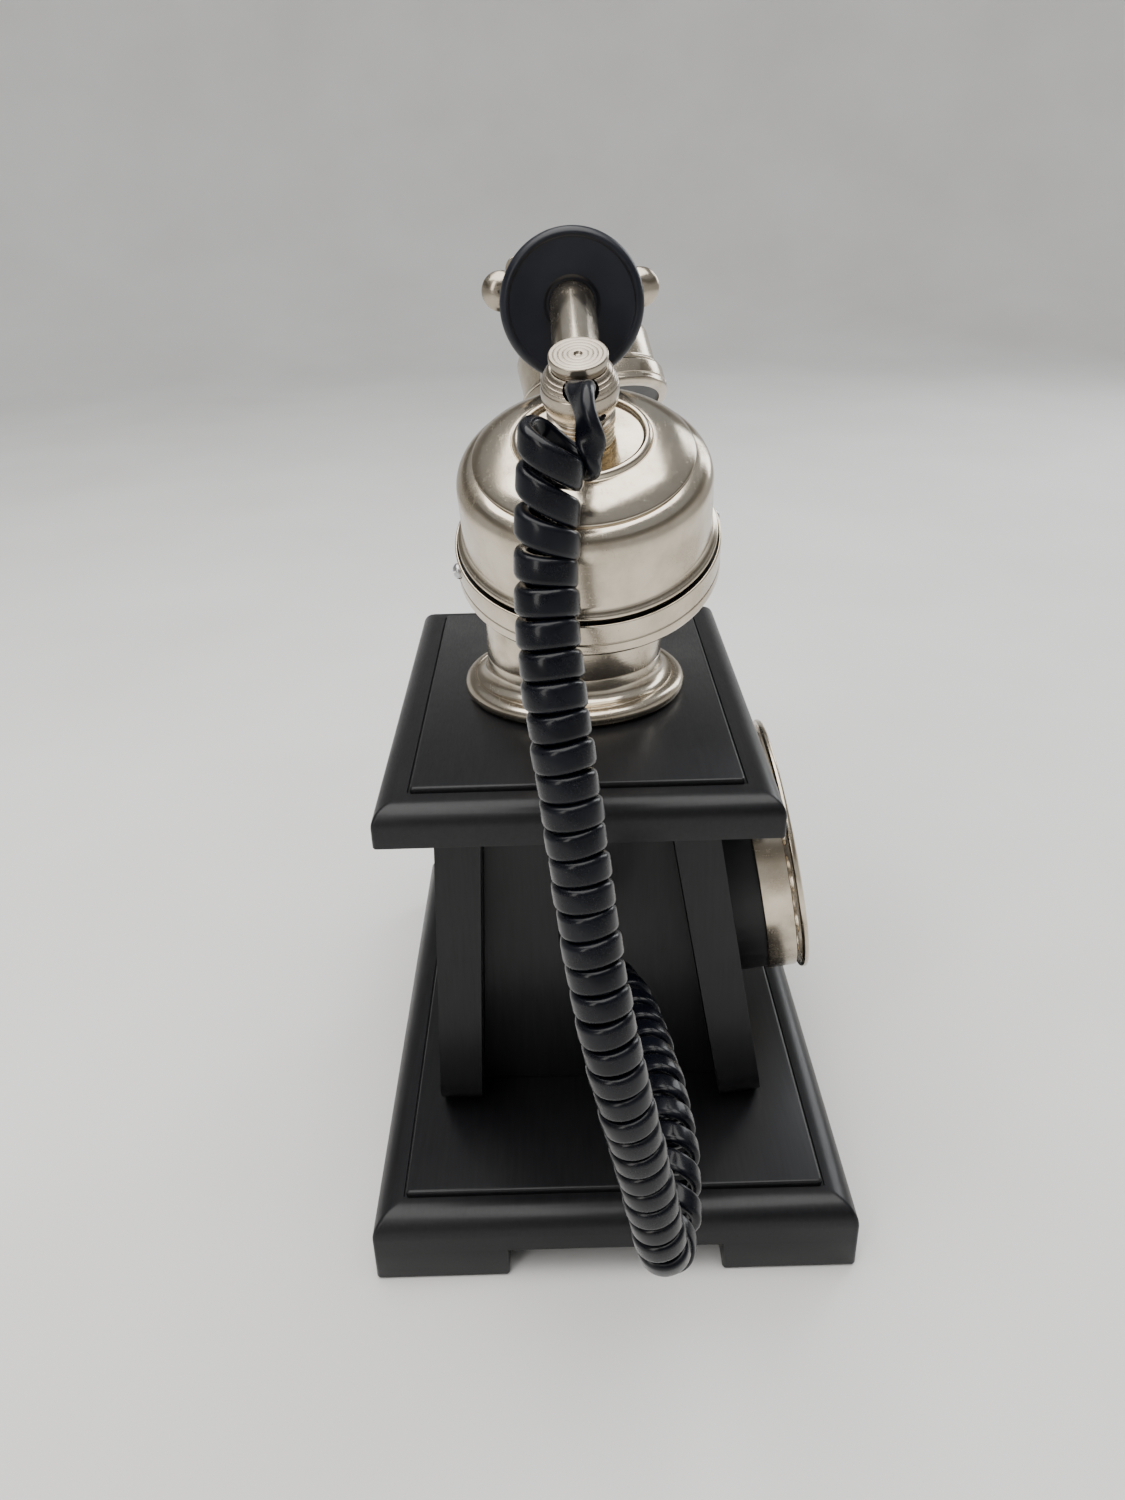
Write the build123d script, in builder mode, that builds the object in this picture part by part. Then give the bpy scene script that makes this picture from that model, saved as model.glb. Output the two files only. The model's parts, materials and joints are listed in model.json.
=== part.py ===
"""Desk telephone: a wooden stand with a rotary dial, a turned pedestal, a spring cradle and a handset on a curly
cord. Millimetres. +Z is up, the dial faces -Y, and the origin is the centre of the stand's footprint."""

import os
from math import cos, radians, sin, tan

from build123d import *

os.makedirs("parts", exist_ok=True)

# ---- Driving dimensions ----

# Plinth and feet
base_length = 184.0  # along X
base_depth = 131.0  # along Y
foot_size = 36.4
foot_height = 10.0
base_edge_top = 21.6  # top of the moulded edge
base_round = 7.0
base_inset = 8.8  # from the edge to the raised panel
base_top = 23.0
pocket_length = 120.0
pocket_depth = 80.0
pocket_roof = 19.0
plate_thickness = 1.2
screw_spacing = 80.0
screw_radius = 1.2
screw_head_radius = 2.4
screw_length = 6.0

# Boards between plinth and platform
board_width = 110.0
board_thickness = 12.0
board_corner = 13.0
front_top_y = -28.1  # outer face of the front board under the platform
front_slant = 9.7  # degrees off upright
back_top_y = 44.0
back_slant = 3.0
panel_outer_x = 40.0
panel_thickness = 8.0

# Top platform
platform_bottom = 124.0
platform_edge_top = 134.8
platform_top = 136.0
platform_length = 140.0
platform_depth = 100.4
platform_centre_y = 7.2
platform_round = 5.3
platform_inset = 9.0

# Pedestal and cradle
pedestal_y = 6.5
flange_radius = 31.6
column_radius = 24.8
column_top = 166.0
neck_top = 200.0
rod_radius = 4.0
rod_running_gap = 0.05
rod_bottom = 146.0
bar_drop = 18.5  # below the handle's axis
bar_radius = 3.5
hub_half = 7.0
fork_inner_x = 62.6
fork_outer_x = 70.6
fork_tip_y = 13.5
fork_tip_z = 2.0
fork_tip_radius = 3.6
fork_radius = 12.6
fork_gap_radius = 8.1
fork_foot_drop = 23.5  # below the handle's axis
fork_foot_width = 12.0

# Handset
handle_height = 244.3  # over the pedestal
handle_shift = 1.6  # of its middle along X
handle_tilt = 2.5  # degrees, the receiver's end lower
tube_radius = 4.15
bend_x = 88.0
bend_radius = 8.0
ball_x = 112.0
ball_drop = 11.5
cup_tilt = 26.5
transmitter_roll = -2.5
receiver_roll = -14.0
grip_half = 58.4
collar_end = 85.6
outer_flange_radius = 13.35
inner_flange_radius = 12.6
collar_neck_radius = 7.8

# Dial
dial_height = 76.5  # where its axis meets the front board
dial_cup_radius = 37.0
dial_bezel_radius = 37.8
dial_cup_depth = 9.5
bezel_front = 18.2
plate_front = 16.4
wheel_back = 19.4
wheel_front = 21.4
wheel_radius = 39.0
hole_radius = 5.7
hole_circle = 29.0
hole_count = 10
first_hole = 55.0
hole_step = 28.0
stop_angle = -20.0
spindle_radius = 3.0

# Cord
cord_radius = 5.2  # outside of the curled cord
lead_radius = 2.2  # the flat lead before it curls
jack_y = 6.0
jack_height = 79.5


def finish(piece, name):
    """Labels a finished piece and writes it under its own name."""
    piece.part.label = name
    export_step(piece.part, f"parts/{name}.step")


def sloped_line_y(top_y, slant, z):
    """Y of a board's outer face at height z, for a face that passes top_y under the platform."""
    return top_y + (platform_bottom - z) * tan(radians(slant))


front_outer = {z: sloped_line_y(front_top_y, -front_slant, z) for z in (base_top, platform_bottom)}
front_inner = {z: y + board_thickness / cos(radians(front_slant)) for z, y in front_outer.items()}
back_outer = {z: sloped_line_y(back_top_y, back_slant, z) for z in (base_top, platform_bottom)}
back_inner = {z: y - board_thickness / cos(radians(back_slant)) for z, y in back_outer.items()}

# ---- Plinth ----

with BuildPart() as base_plinth:
    with BuildSketch(Plane.XY.offset(foot_height)):
        Rectangle(base_length, base_depth)
    extrude(amount=base_edge_top - foot_height)
    fillet(base_plinth.faces().sort_by(Axis.Z)[-1].edges(), base_round)
    with BuildSketch(Plane.XY.offset(base_edge_top)):
        RectangleRounded(base_length - 2 * base_inset, base_depth - 2 * base_inset, 1.0)
    extrude(amount=base_top - base_edge_top)
    with BuildSketch(Plane.XY.offset(foot_height)):
        Rectangle(pocket_length, pocket_depth)
    extrude(amount=pocket_roof - foot_height, mode=Mode.SUBTRACT)
    # Rebate that the bottom plate lies in, and the four screw holes beyond the pocket
    with BuildSketch(Plane.XY.offset(foot_height)):
        Rectangle(pocket_length + 16, pocket_depth + 16)
    extrude(amount=plate_thickness, mode=Mode.SUBTRACT)
    with BuildSketch(Plane.XY.offset(foot_height)):
        with GridLocations(screw_spacing, pocket_depth + 8, 2, 2):
            Circle(screw_radius)
    extrude(amount=plate_thickness + screw_length, mode=Mode.SUBTRACT)
finish(base_plinth, "base_plinth")

with BuildPart() as corner_feet:
    with BuildSketch():
        with GridLocations(base_length - foot_size, base_depth - foot_size, 2, 2):
            Rectangle(foot_size, foot_size)
    extrude(amount=foot_height)
    fillet(corner_feet.faces().group_by(Axis.Z)[0].edges(), 0.8)
    with BuildSketch():
        with GridLocations(base_length - foot_size, base_depth - foot_size, 2, 2):
            Circle(7)
    extrude(amount=1.0, mode=Mode.SUBTRACT)
finish(corner_feet, "corner_feet")

with BuildPart() as foot_pads:
    with BuildSketch():
        with GridLocations(base_length - foot_size, base_depth - foot_size, 2, 2):
            Circle(7)
    extrude(amount=1.0)
finish(foot_pads, "foot_pads")

with BuildPart() as bottom_plate:
    with BuildSketch(Plane.XY.offset(foot_height)):
        Rectangle(pocket_length + 16, pocket_depth + 16)
        with GridLocations(screw_spacing, pocket_depth + 8, 2, 2):
            Circle(screw_head_radius, mode=Mode.SUBTRACT)
    extrude(amount=plate_thickness)
finish(bottom_plate, "bottom_plate")

with BuildPart() as bottom_screws:
    with BuildSketch(Plane.XY.offset(foot_height)):
        with GridLocations(screw_spacing, pocket_depth + 8, 2, 2):
            Circle(screw_head_radius)
    extrude(amount=plate_thickness)
    with BuildSketch(Plane.XY.offset(foot_height + plate_thickness)):
        with GridLocations(screw_spacing, pocket_depth + 8, 2, 2):
            Circle(screw_radius)
    extrude(amount=screw_length)
finish(bottom_screws, "bottom_screws")

# ---- Boards ----

front_plane = Plane(
    origin=(0, front_outer[base_top], base_top),
    x_dir=(1, 0, 0),
    z_dir=(0, -cos(radians(front_slant)), sin(radians(front_slant))),
)
back_plane = Plane(
    origin=(0, back_outer[base_top], base_top),
    x_dir=(-1, 0, 0),
    z_dir=(0, cos(radians(back_slant)), sin(radians(back_slant))),
)
board_overrun = 6.0  # past the platform's underside before it is cut level
board_height = platform_bottom - base_top + board_overrun


with BuildPart() as front_board:
    with BuildSketch(front_plane):
        with Locations((0, board_height / 2)):
            Rectangle(board_width, board_height)
        fillet(vertices().group_by(Axis.Y)[0], board_corner)
    extrude(amount=-board_thickness)
    split(bisect_by=Plane.XY.offset(platform_bottom), keep=Keep.BOTTOM)
    split(bisect_by=Plane.XY.offset(base_top), keep=Keep.TOP)
finish(front_board, "front_board")

# The line jack's opening runs level through the back board.
line_jack_plane = Plane(origin=(0, 30, 41), x_dir=(1, 0, 0), z_dir=(0, 1, 0))

with BuildPart() as back_board:
    with BuildSketch(back_plane):
        with Locations((0, board_height / 2)):
            Rectangle(board_width, board_height)
        fillet(vertices().group_by(Axis.Y)[0], board_corner)
    extrude(amount=-board_thickness)
    split(bisect_by=Plane.XY.offset(platform_bottom), keep=Keep.BOTTOM)
    split(bisect_by=Plane.XY.offset(base_top), keep=Keep.TOP)
    with BuildSketch(line_jack_plane):
        Rectangle(16, 13)
    extrude(amount=30, mode=Mode.SUBTRACT)
finish(back_board, "back_board")

with BuildPart() as line_jack:
    with BuildSketch(line_jack_plane):
        Rectangle(16, 13)
    extrude(amount=19.2)
    with BuildSketch(line_jack_plane.offset(8)):
        Rectangle(11.8, 7.4)
    extrude(amount=12, mode=Mode.SUBTRACT)
finish(line_jack, "line_jack")

for side, name in ((-1, "left_side_panel"), (1, "right_side_panel")):
    with BuildPart() as side_panel:
        with BuildSketch(Plane.YZ.offset(side * (panel_outer_x - panel_thickness / 2))):
            with BuildLine():
                Polyline(
                    (front_inner[platform_bottom], platform_bottom),
                    (front_inner[base_top], base_top),
                    (back_inner[base_top], base_top),
                    (back_inner[platform_bottom], platform_bottom),
                    close=True,
                )
            make_face()
            if side < 0:
                with Locations((jack_y, jack_height)):
                    Rectangle(14, 14, mode=Mode.SUBTRACT)
        extrude(amount=panel_thickness / 2, both=True)
    finish(side_panel, name)

# ---- Platform ----

platform_plane = Plane(origin=(0, platform_centre_y, platform_bottom))
wire_hole = (-14, pedestal_y - platform_centre_y)

with BuildPart() as top_platform:
    with BuildSketch(platform_plane):
        Rectangle(platform_length, platform_depth)
    extrude(amount=platform_edge_top - platform_bottom)
    fillet(top_platform.faces().sort_by(Axis.Z)[-1].edges(), platform_round)
    with BuildSketch(platform_plane.offset(platform_edge_top - platform_bottom)):
        RectangleRounded(platform_length - 2 * platform_inset, platform_depth - 2 * platform_inset, 1.0)
    extrude(amount=platform_top - platform_edge_top)
    with Locations(platform_plane):
        with Locations((*wire_hole, platform_top - platform_bottom)):
            Hole(3.0)
finish(top_platform, "top_platform")

# ---- Pedestal, turned about an upright axis at pedestal_y ----

pedestal_profile = Plane(origin=(0, pedestal_y, 0), x_dir=(1, 0, 0), z_dir=(0, -1, 0))
pedestal_axis = Axis((0, pedestal_y, 0), (0, 0, 1))
column_wall = 3.0

with BuildPart() as pedestal_column:
    with BuildSketch(pedestal_profile):
        with BuildLine():
            foot = (flange_radius - 1.6, platform_top)
            lip_top = (flange_radius - 1.8, platform_top + 4.6)
            ThreePointArc(foot, (flange_radius, platform_top + 2.3), lip_top)
            Line(lip_top, (column_radius + 3.2, platform_top + 5.0))
            ThreePointArc(
                (column_radius + 3.2, platform_top + 5.0),
                (column_radius + 0.9, platform_top + 6.0),
                (column_radius, platform_top + 8.4),
            )
            Polyline(
                (column_radius, platform_top + 8.4),
                (column_radius, column_top),
                (column_radius - column_wall, column_top),
                (column_radius - column_wall, platform_top),
                foot,
            )
        make_face()
    revolve(axis=pedestal_axis)
finish(pedestal_column, "pedestal_column")

cap_lip = 1.2
with BuildPart() as pedestal_cap:
    with BuildSketch(pedestal_profile):
        with BuildLine():
            guide = rod_radius + rod_running_gap
            ThreePointArc(
                (column_radius + cap_lip, column_top),
                (column_radius + cap_lip + 0.9, column_top + 1.6),
                (column_radius, column_top + 3.2),
            )
            ThreePointArc(
                (column_radius, column_top + 3.2),
                (column_radius - 5.8, column_top + 11.6),
                (10.0, column_top + 16.6),
            )
            ThreePointArc((10.0, column_top + 16.6), (8.1, column_top + 19.4), (7.6, column_top + 24.0))
            Polyline(
                (7.6, column_top + 24.0),
                (7.6, neck_top - 3.0),
                (9.2, neck_top - 2.2),
                (9.2, neck_top),
                (guide, neck_top),
                (guide, column_top + 8.0),
                (column_radius - 6, column_top + 4.0),
                (column_radius - 6, column_top),
                (column_radius + cap_lip, column_top),
            )
        make_face()
    revolve(axis=pedestal_axis)
finish(pedestal_cap, "pedestal_cap")

spring_bottom = platform_top
collar_bottom = 158.0
spring_coil_radius = 5.6
spring_wire = 0.5
spring_pitch = 3.0
spring_height = collar_bottom - spring_bottom - 2 * spring_wire

with BuildPart() as hook_spring:
    with BuildLine(Plane(origin=(0, pedestal_y, spring_bottom + spring_wire))):
        coil = Helix(pitch=spring_pitch, height=spring_height, radius=spring_coil_radius)
    with BuildSketch(Plane(origin=coil @ 0, z_dir=coil % 0)):
        Circle(spring_wire)
    sweep(is_frenet=True)
finish(hook_spring, "hook_spring")

with BuildPart() as hook_switch:
    with BuildSketch(Plane(origin=(14.5, pedestal_y, platform_top))):
        Rectangle(6, 12)
    extrude(amount=14)
    with BuildSketch(Plane(origin=(13.5, pedestal_y, platform_top + 14))):
        Rectangle(2.5, 3)
    extrude(amount=1.5)
finish(hook_switch, "hook_switch")

# ---- Cradle ----

# The handle lies along handle_way, square to handle_up, and the cradle's bar runs under it.
handle_way = Vector(cos(radians(handle_tilt)), 0, -sin(radians(handle_tilt)))
handle_up = Vector(sin(radians(handle_tilt)), 0, cos(radians(handle_tilt)))
handle_centre = Vector(handle_shift, pedestal_y, handle_height - handle_shift * tan(radians(handle_tilt)))
handle_plane = Plane(origin=handle_centre, x_dir=(0, 1, 0), z_dir=handle_way)
bar_plane = Plane(origin=handle_centre - handle_up * bar_drop, x_dir=(0, 1, 0), z_dir=handle_way)
bar_height = handle_height - bar_drop / cos(radians(handle_tilt))  # over the pedestal
hub_bottom = bar_height - bar_radius - 2.0

with BuildPart() as cradle_rod:
    with BuildSketch(pedestal_profile):
        with BuildLine():
            Polyline(
                (0, rod_bottom),
                (rod_radius, rod_bottom),
                (rod_radius, collar_bottom),
                (rod_radius + 3.5, collar_bottom),
                (rod_radius + 3.5, collar_bottom + 2),
                (rod_radius, collar_bottom + 2),
                (rod_radius, hub_bottom),
                (0, hub_bottom),
                close=True,
            )
        make_face()
    revolve(axis=pedestal_axis)
finish(cradle_rod, "cradle_rod")


with BuildPart() as cradle_bar:
    with BuildSketch(bar_plane):
        Circle(bar_radius)
    extrude(amount=fork_inner_x, both=True)
finish(cradle_bar, "cradle_bar")

with BuildPart() as cradle_hub:
    with BuildSketch(Plane(origin=(0, pedestal_y, hub_bottom))):
        Circle(hub_half)
    extrude(amount=2 * (bar_height - hub_bottom))
    fillet(cradle_hub.faces().sort_by(Axis.Z)[-1].edges(), 1.5)
    with BuildSketch(bar_plane):
        Circle(bar_radius)
    extrude(amount=hub_half + 1, both=True, mode=Mode.SUBTRACT)
finish(cradle_hub, "cradle_hub")

for side, name in ((-1, "left_fork"), (1, "right_fork")):
    with BuildPart() as fork:
        with BuildSketch(handle_plane.offset(side * (fork_inner_x + fork_outer_x) / 2)):
            Circle(fork_radius)
            with Locations((0, fork_radius)):
                Rectangle(3 * fork_radius, 2 * fork_radius, mode=Mode.SUBTRACT)
            for tip in (-1, 1):
                with BuildLine():
                    Polyline(
                        (tip * (fork_gap_radius - 0.6), -1.0),
                        (tip * fork_radius, -1.0),
                        (tip * (fork_tip_y + 2.6), fork_tip_z - 2.4),
                        (tip * (fork_tip_y - 2.6), fork_tip_z + 2.4),
                        close=True,
                    )
                make_face()
                with Locations((tip * fork_tip_y, fork_tip_z)):
                    Circle(fork_tip_radius)
            with Locations((0, -(fork_foot_drop + fork_radius) / 2)):
                Rectangle(fork_foot_width, fork_foot_drop - fork_radius + 3)
            Circle(fork_gap_radius, mode=Mode.SUBTRACT)
        extrude(amount=(fork_outer_x - fork_inner_x) / 2, both=True)
    finish(fork, name)

# ---- Handset ----

handle_axis = Axis(handle_centre, handle_way)
grip_profile = Plane(origin=handle_centre, x_dir=handle_way, z_dir=(0, -1, 0))
rolls = {"transmitter": (-1, transmitter_roll), "receiver": (1, receiver_roll)}


def handset_frame(roll):
    """Frame on the handle's axis, turned about it, in which one elbow hangs straight down."""
    return Plane(origin=handle_centre, x_dir=handle_way, z_dir=handle_up.rotate(handle_axis, roll))


def in_frame(frame, x, y, z):
    return frame.x_dir * x + frame.y_dir * y + frame.z_dir * z


def elbow_plane(side, roll):
    """Turning profile of an elbow: x is the radius, y runs up the cup's axis, 0 is the ball's centre."""
    frame = handset_frame(roll)
    centre = handle_centre + in_frame(frame, side * ball_x, 0, -ball_drop)
    tilt = radians(cup_tilt)
    up = in_frame(frame, side * sin(tilt), 0, cos(tilt))
    outward = in_frame(frame, side * cos(tilt), 0, -sin(tilt))
    return Plane(origin=centre, x_dir=outward, z_dir=outward.cross(up))


def tube_points(side, roll):
    frame = handset_frame(roll)
    bend = handle_centre + in_frame(frame, side * bend_x, 0, 0)
    ball = handle_centre + in_frame(frame, side * ball_x, 0, -ball_drop)
    along = (ball - bend).normalized()
    return bend, ball - along * 3.0, along


left_bend, left_end, left_along = tube_points(*rolls["transmitter"])
right_bend, right_end, right_along = tube_points(*rolls["receiver"])

with BuildPart() as handset_tube:
    with BuildLine() as tube_line:
        FilletPolyline(left_end, left_bend, right_bend, right_end, radius=bend_radius)
    with BuildSketch(Plane(origin=left_end, z_dir=left_along)):
        Circle(tube_radius)
    sweep(path=tube_line.wires()[0])
finish(handset_tube, "handset_tube")

with BuildPart() as hand_grip:
    with BuildSketch(grip_profile):
        with BuildLine():
            ThreePointArc((-grip_half, 9.0), (0, 11.0), (grip_half, 9.0))
            Polyline(
                (grip_half, 9.0), (grip_half, tube_radius), (-grip_half, tube_radius), (-grip_half, 9.0)
            )
        make_face()
    revolve(axis=handle_axis)
finish(hand_grip, "hand_grip")

for side, name in ((-1, "left_grip_collar"), (1, "right_grip_collar")):
    with BuildPart() as grip_collar:
        with BuildSketch(grip_profile):
            with BuildLine():
                inner_face = side * grip_half
                outer_face = side * collar_end
                inner_neck = side * (fork_inner_x - 0.8)
                outer_neck = side * (collar_end - 3.4)
                Line((inner_face, tube_radius), (inner_face, inner_flange_radius - 1.0))
                ThreePointArc(
                    (inner_face, inner_flange_radius - 1.0),
                    ((inner_face + inner_neck) / 2, inner_flange_radius),
                    (inner_neck, inner_flange_radius - 1.0),
                )
                Polyline(
                    (inner_neck, inner_flange_radius - 1.0),
                    (inner_neck, collar_neck_radius),
                    (outer_neck, collar_neck_radius),
                    (outer_neck, outer_flange_radius - 1.0),
                )
                ThreePointArc(
                    (outer_neck, outer_flange_radius - 1.0),
                    ((outer_face + outer_neck) / 2, outer_flange_radius),
                    (outer_face, outer_flange_radius - 1.0),
                )
                Polyline(
                    (outer_face, outer_flange_radius - 1.0),
                    (outer_face - side * 0.7, outer_flange_radius - 1.7),
                    (outer_face - side * 0.9, tube_radius),
                    (inner_face, tube_radius),
                )
            make_face()
        revolve(axis=handle_axis)
    finish(grip_collar, name)

ball_radius = 6.6
stem_radius = 5.7
stem_shank = 4.0
cup_radius = 23.5
band_radius = 24.85
lead_exit = 236.4  # height at which the lead leaves the transmitter's elbow

for end, (side, roll) in rolls.items():
    profile = elbow_plane(side, roll)
    turning_axis = Axis(profile.origin, profile.y_dir)
    along = left_along if side < 0 else right_along

    with BuildPart() as elbow:
        with BuildSketch(profile):
            with BuildLine():
                Polyline((5.0, 4.3), (0, 4.3), (0, -5.8), (5.9, -5.8), (5.9, -4.7), (5.2, -4.06))
                ThreePointArc((5.2, -4.06), (ball_radius, 0), (5.0, 4.3))
            make_face()
        revolve(axis=turning_axis)
        with BuildSketch(Plane(origin=profile.origin - along * 3.0, z_dir=along)):
            Circle(tube_radius)
        extrude(amount=-12, mode=Mode.SUBTRACT)
        if side < 0:
            with BuildSketch(
                Plane(origin=(-ball_x - 2, profile.origin.Y, lead_exit), x_dir=(0, 1, 0), z_dir=(-1, 0, 0))
            ):
                Circle(lead_radius + 0.5)
            extrude(amount=9, mode=Mode.SUBTRACT)
    finish(elbow, f"{end}_elbow")

    with BuildPart() as elbow_cap:
        with BuildSketch(profile):
            with BuildLine():
                Polyline(
                    (0, 4.3), (4.5, 4.3), (4.5, 5.3), (4.95, 5.4), (4.95, 6.5), (4.75, 6.6),
                    (0.7, 6.6), (0, 6.1), close=True,
                )
            make_face()
        revolve(axis=turning_axis)
    finish(elbow_cap, f"{end}_elbow_cap")

    with BuildPart() as stem:
        with BuildSketch(profile):
            with BuildLine():
                Polyline(
                    (0, -5.8), (stem_radius, -5.8), (stem_radius, -9.5), (stem_shank, -9.5),
                    (stem_shank, -13.5), (0, -13.5), close=True,
                )
            make_face()
        revolve(axis=turning_axis)
    finish(stem, f"{end}_stem")

    with BuildPart() as cup:
        with BuildSketch(profile):
            with BuildLine():
                Line((stem_shank, -9.5), (10.6, -9.5))
                ThreePointArc((10.6, -9.5), (11.3, -8.6), (12.0, -9.4))
                ThreePointArc((12.0, -9.4), (16.2, -10.5), (19.6, -12.7))
                Line((19.6, -12.7), (19.6, -13.2))
                ThreePointArc((19.6, -13.2), (22.4, -15.4), (23.3, -18.6))
                Line((23.3, -18.6), (cup_radius, -27.6))
                ThreePointArc((cup_radius, -27.6), (23.75, -28.6), (24.4, -29.2))
                ThreePointArc((24.4, -29.2), (24.9, -29.9), (24.3, -30.6))
                Polyline(
                    (24.3, -30.6), (23.6, -30.8), (23.6, -36.0), (22.3, -36.0), (22.2, -19.0),
                    (18.6, -14.4), (11.4, -10.9), (stem_shank, -10.9), (stem_shank, -9.5),
                )
            make_face()
        revolve(axis=turning_axis)
    finish(cup, f"{end}_cup")

    # The screws sit a little round from the handset's sides.
    screw_angle = 12.0
    screw_height = -33.4
    screw_directions = []
    for turn in (90 + screw_angle, 270 + screw_angle):
        screw_directions.append(profile.x_dir.rotate(turning_axis, turn))

    with BuildPart() as band:
        with BuildSketch(profile):
            with BuildLine():
                Line((23.6, -31.4), (24.5, -31.4))
                ThreePointArc((24.5, -31.4), (24.78, -31.55), (band_radius, -31.9))
                Polyline(
                    (band_radius, -31.9), (band_radius, -35.3), (24.6, -35.5), (band_radius, -35.7),
                    (band_radius, -36.8),
                )
                ThreePointArc((band_radius, -36.8), (24.4, -38.4), (23.2, -38.9))
                Polyline(
                    (23.2, -38.9), (21.6, -38.9), (21.6, -38.1), (23.0, -38.1), (23.0, -36.0), (23.6, -36.0),
                    (23.6, -31.4),
                )
            make_face()
        revolve(axis=turning_axis)
        for direction in screw_directions:
            start = profile.origin + profile.y_dir * screw_height + direction * 23.0
            with BuildSketch(Plane(origin=start, z_dir=direction)):
                Circle(0.9)
            extrude(amount=3, mode=Mode.SUBTRACT)
    finish(band, f"{end}_band")

    with BuildPart() as band_screws:
        for direction in screw_directions:
            foot = profile.origin + profile.y_dir * screw_height
            with BuildSketch(Plane(origin=foot + direction * 23.75, z_dir=direction)):
                Circle(0.9)
            extrude(amount=1.2)
            with BuildSketch(Plane(origin=foot + direction * 24.95, z_dir=direction)):
                Circle(1.5)
            extrude(amount=1.0, taper=30)
    finish(band_screws, f"{end}_band_screws")

    with BuildPart() as cover:
        with BuildSketch(Plane(origin=profile.origin - profile.y_dir * 36.0, z_dir=-profile.y_dir)):
            Circle(23.0)
            Circle(1.3, mode=Mode.SUBTRACT)
            for ring_radius, count in ((6.0, 6), (11.5, 12)):
                with PolarLocations(ring_radius, count):
                    Circle(1.3, mode=Mode.SUBTRACT)
        extrude(amount=2.1)
    finish(cover, f"{end}_cover")

    with BuildPart() as capsule:
        with BuildSketch(Plane(origin=profile.origin - profile.y_dir * 22.0, z_dir=-profile.y_dir)):
            Circle(17.0)
        extrude(amount=9.0)
        chamfer(capsule.edges().filter_by(GeomType.CIRCLE), 1.0)
    finish(capsule, f"{end}_capsule")

# ---- Dial, built outwards along its own axis from the front board ----

dial_origin_y = sloped_line_y(front_top_y, -front_slant, dial_height)
dial_plane = Plane(origin=(0, dial_origin_y, dial_height), x_dir=(1, 0, 0), z_dir=front_plane.z_dir)

with BuildPart() as dial_cup:
    with BuildSketch(dial_plane):
        Circle(dial_cup_radius)
    extrude(amount=dial_cup_depth)
    fillet(dial_cup.edges().filter_by(GeomType.CIRCLE).sort_by(Axis.Y)[-1], 1.2)
    with BuildSketch(dial_plane.offset(2)):
        Circle(dial_cup_radius - 2.5)
    extrude(amount=dial_cup_depth, mode=Mode.SUBTRACT)
finish(dial_cup, "dial_cup")

with BuildPart() as dial_bezel:
    with BuildSketch(dial_plane.offset(dial_cup_depth)):
        Circle(dial_bezel_radius)
        Circle(dial_bezel_radius - 2.6, mode=Mode.SUBTRACT)
    extrude(amount=bezel_front - dial_cup_depth)
    fillet(dial_bezel.edges().filter_by(GeomType.CIRCLE), 0.5)
finish(dial_bezel, "dial_bezel")

with BuildPart() as number_plate:
    with BuildSketch(dial_plane.offset(plate_front - 1.4)):
        Circle(dial_bezel_radius - 2.6)
        Circle(spindle_radius + 1, mode=Mode.SUBTRACT)
    extrude(amount=1.4)
finish(number_plate, "number_plate")

with BuildPart() as dial_mechanism:
    with BuildSketch(dial_plane.offset(2)):
        Circle(26)
        Circle(spindle_radius + rod_running_gap, mode=Mode.SUBTRACT)
    extrude(amount=plate_front - 3.4)
    chamfer(dial_mechanism.faces().sort_by(Axis.Y)[0].edges().sort_by(Edge.length)[-1], 2.0)
finish(dial_mechanism, "dial_mechanism")

with BuildPart() as dial_spindle:
    with BuildSketch(dial_plane.offset(4)):
        Circle(spindle_radius)
    extrude(amount=wheel_back - 4)
finish(dial_spindle, "dial_spindle")

with BuildPart() as finger_wheel:
    with BuildSketch(dial_plane.offset(wheel_back)):
        Circle(wheel_radius)
        for hole in range(hole_count):
            with PolarLocations(hole_circle, 1, start_angle=first_hole + hole * hole_step):
                Circle(hole_radius, mode=Mode.SUBTRACT)
    extrude(amount=wheel_front - wheel_back)
    fillet(finger_wheel.edges().filter_by(GeomType.CIRCLE).group_by(Edge.length)[-1], 0.9)
finish(finger_wheel, "finger_wheel")

with BuildPart() as wheel_cap:
    with BuildSketch(Plane(origin=dial_plane.origin, x_dir=(1, 0, 0), z_dir=-dial_plane.y_dir)):
        with BuildLine():
            Polyline(
                (2.0, wheel_front + 3.6), (0, wheel_front + 3.6), (0, wheel_front), (16.0, wheel_front),
                (16.0, wheel_front + 0.8),
            )
            ThreePointArc((16.0, wheel_front + 0.8), (9.6, wheel_front + 2.8), (2.0, wheel_front + 3.6))
        make_face()
    revolve(axis=Axis(dial_plane.origin, dial_plane.z_dir))
finish(wheel_cap, "wheel_cap")


stop_radial = dial_plane.x_dir.rotate(Axis(dial_plane.origin, dial_plane.z_dir), stop_angle)
stop_plane = Plane(origin=dial_plane.origin, x_dir=stop_radial, z_dir=stop_radial.cross(dial_plane.z_dir))

with BuildPart() as finger_stop:
    with BuildSketch(stop_plane):
        with BuildLine():
            Polyline(
                (dial_bezel_radius - 0.8, 11.0), (wheel_radius + 3.0, 11.0), (wheel_radius + 3.0, 24.2),
                (28.5, 24.2), (28.5, 22.7), (wheel_radius + 1.4, 22.7), (wheel_radius + 1.4, 13.5),
                (dial_bezel_radius - 0.8, 13.5), close=True,
            )
        make_face()
    extrude(amount=3, both=True)
    with BuildSketch(dial_plane.offset(dial_cup_depth)):
        Circle(dial_bezel_radius)
    extrude(amount=bezel_front - dial_cup_depth, mode=Mode.SUBTRACT)
finish(finger_stop, "finger_stop")

# ---- Inside the stand ----

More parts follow.
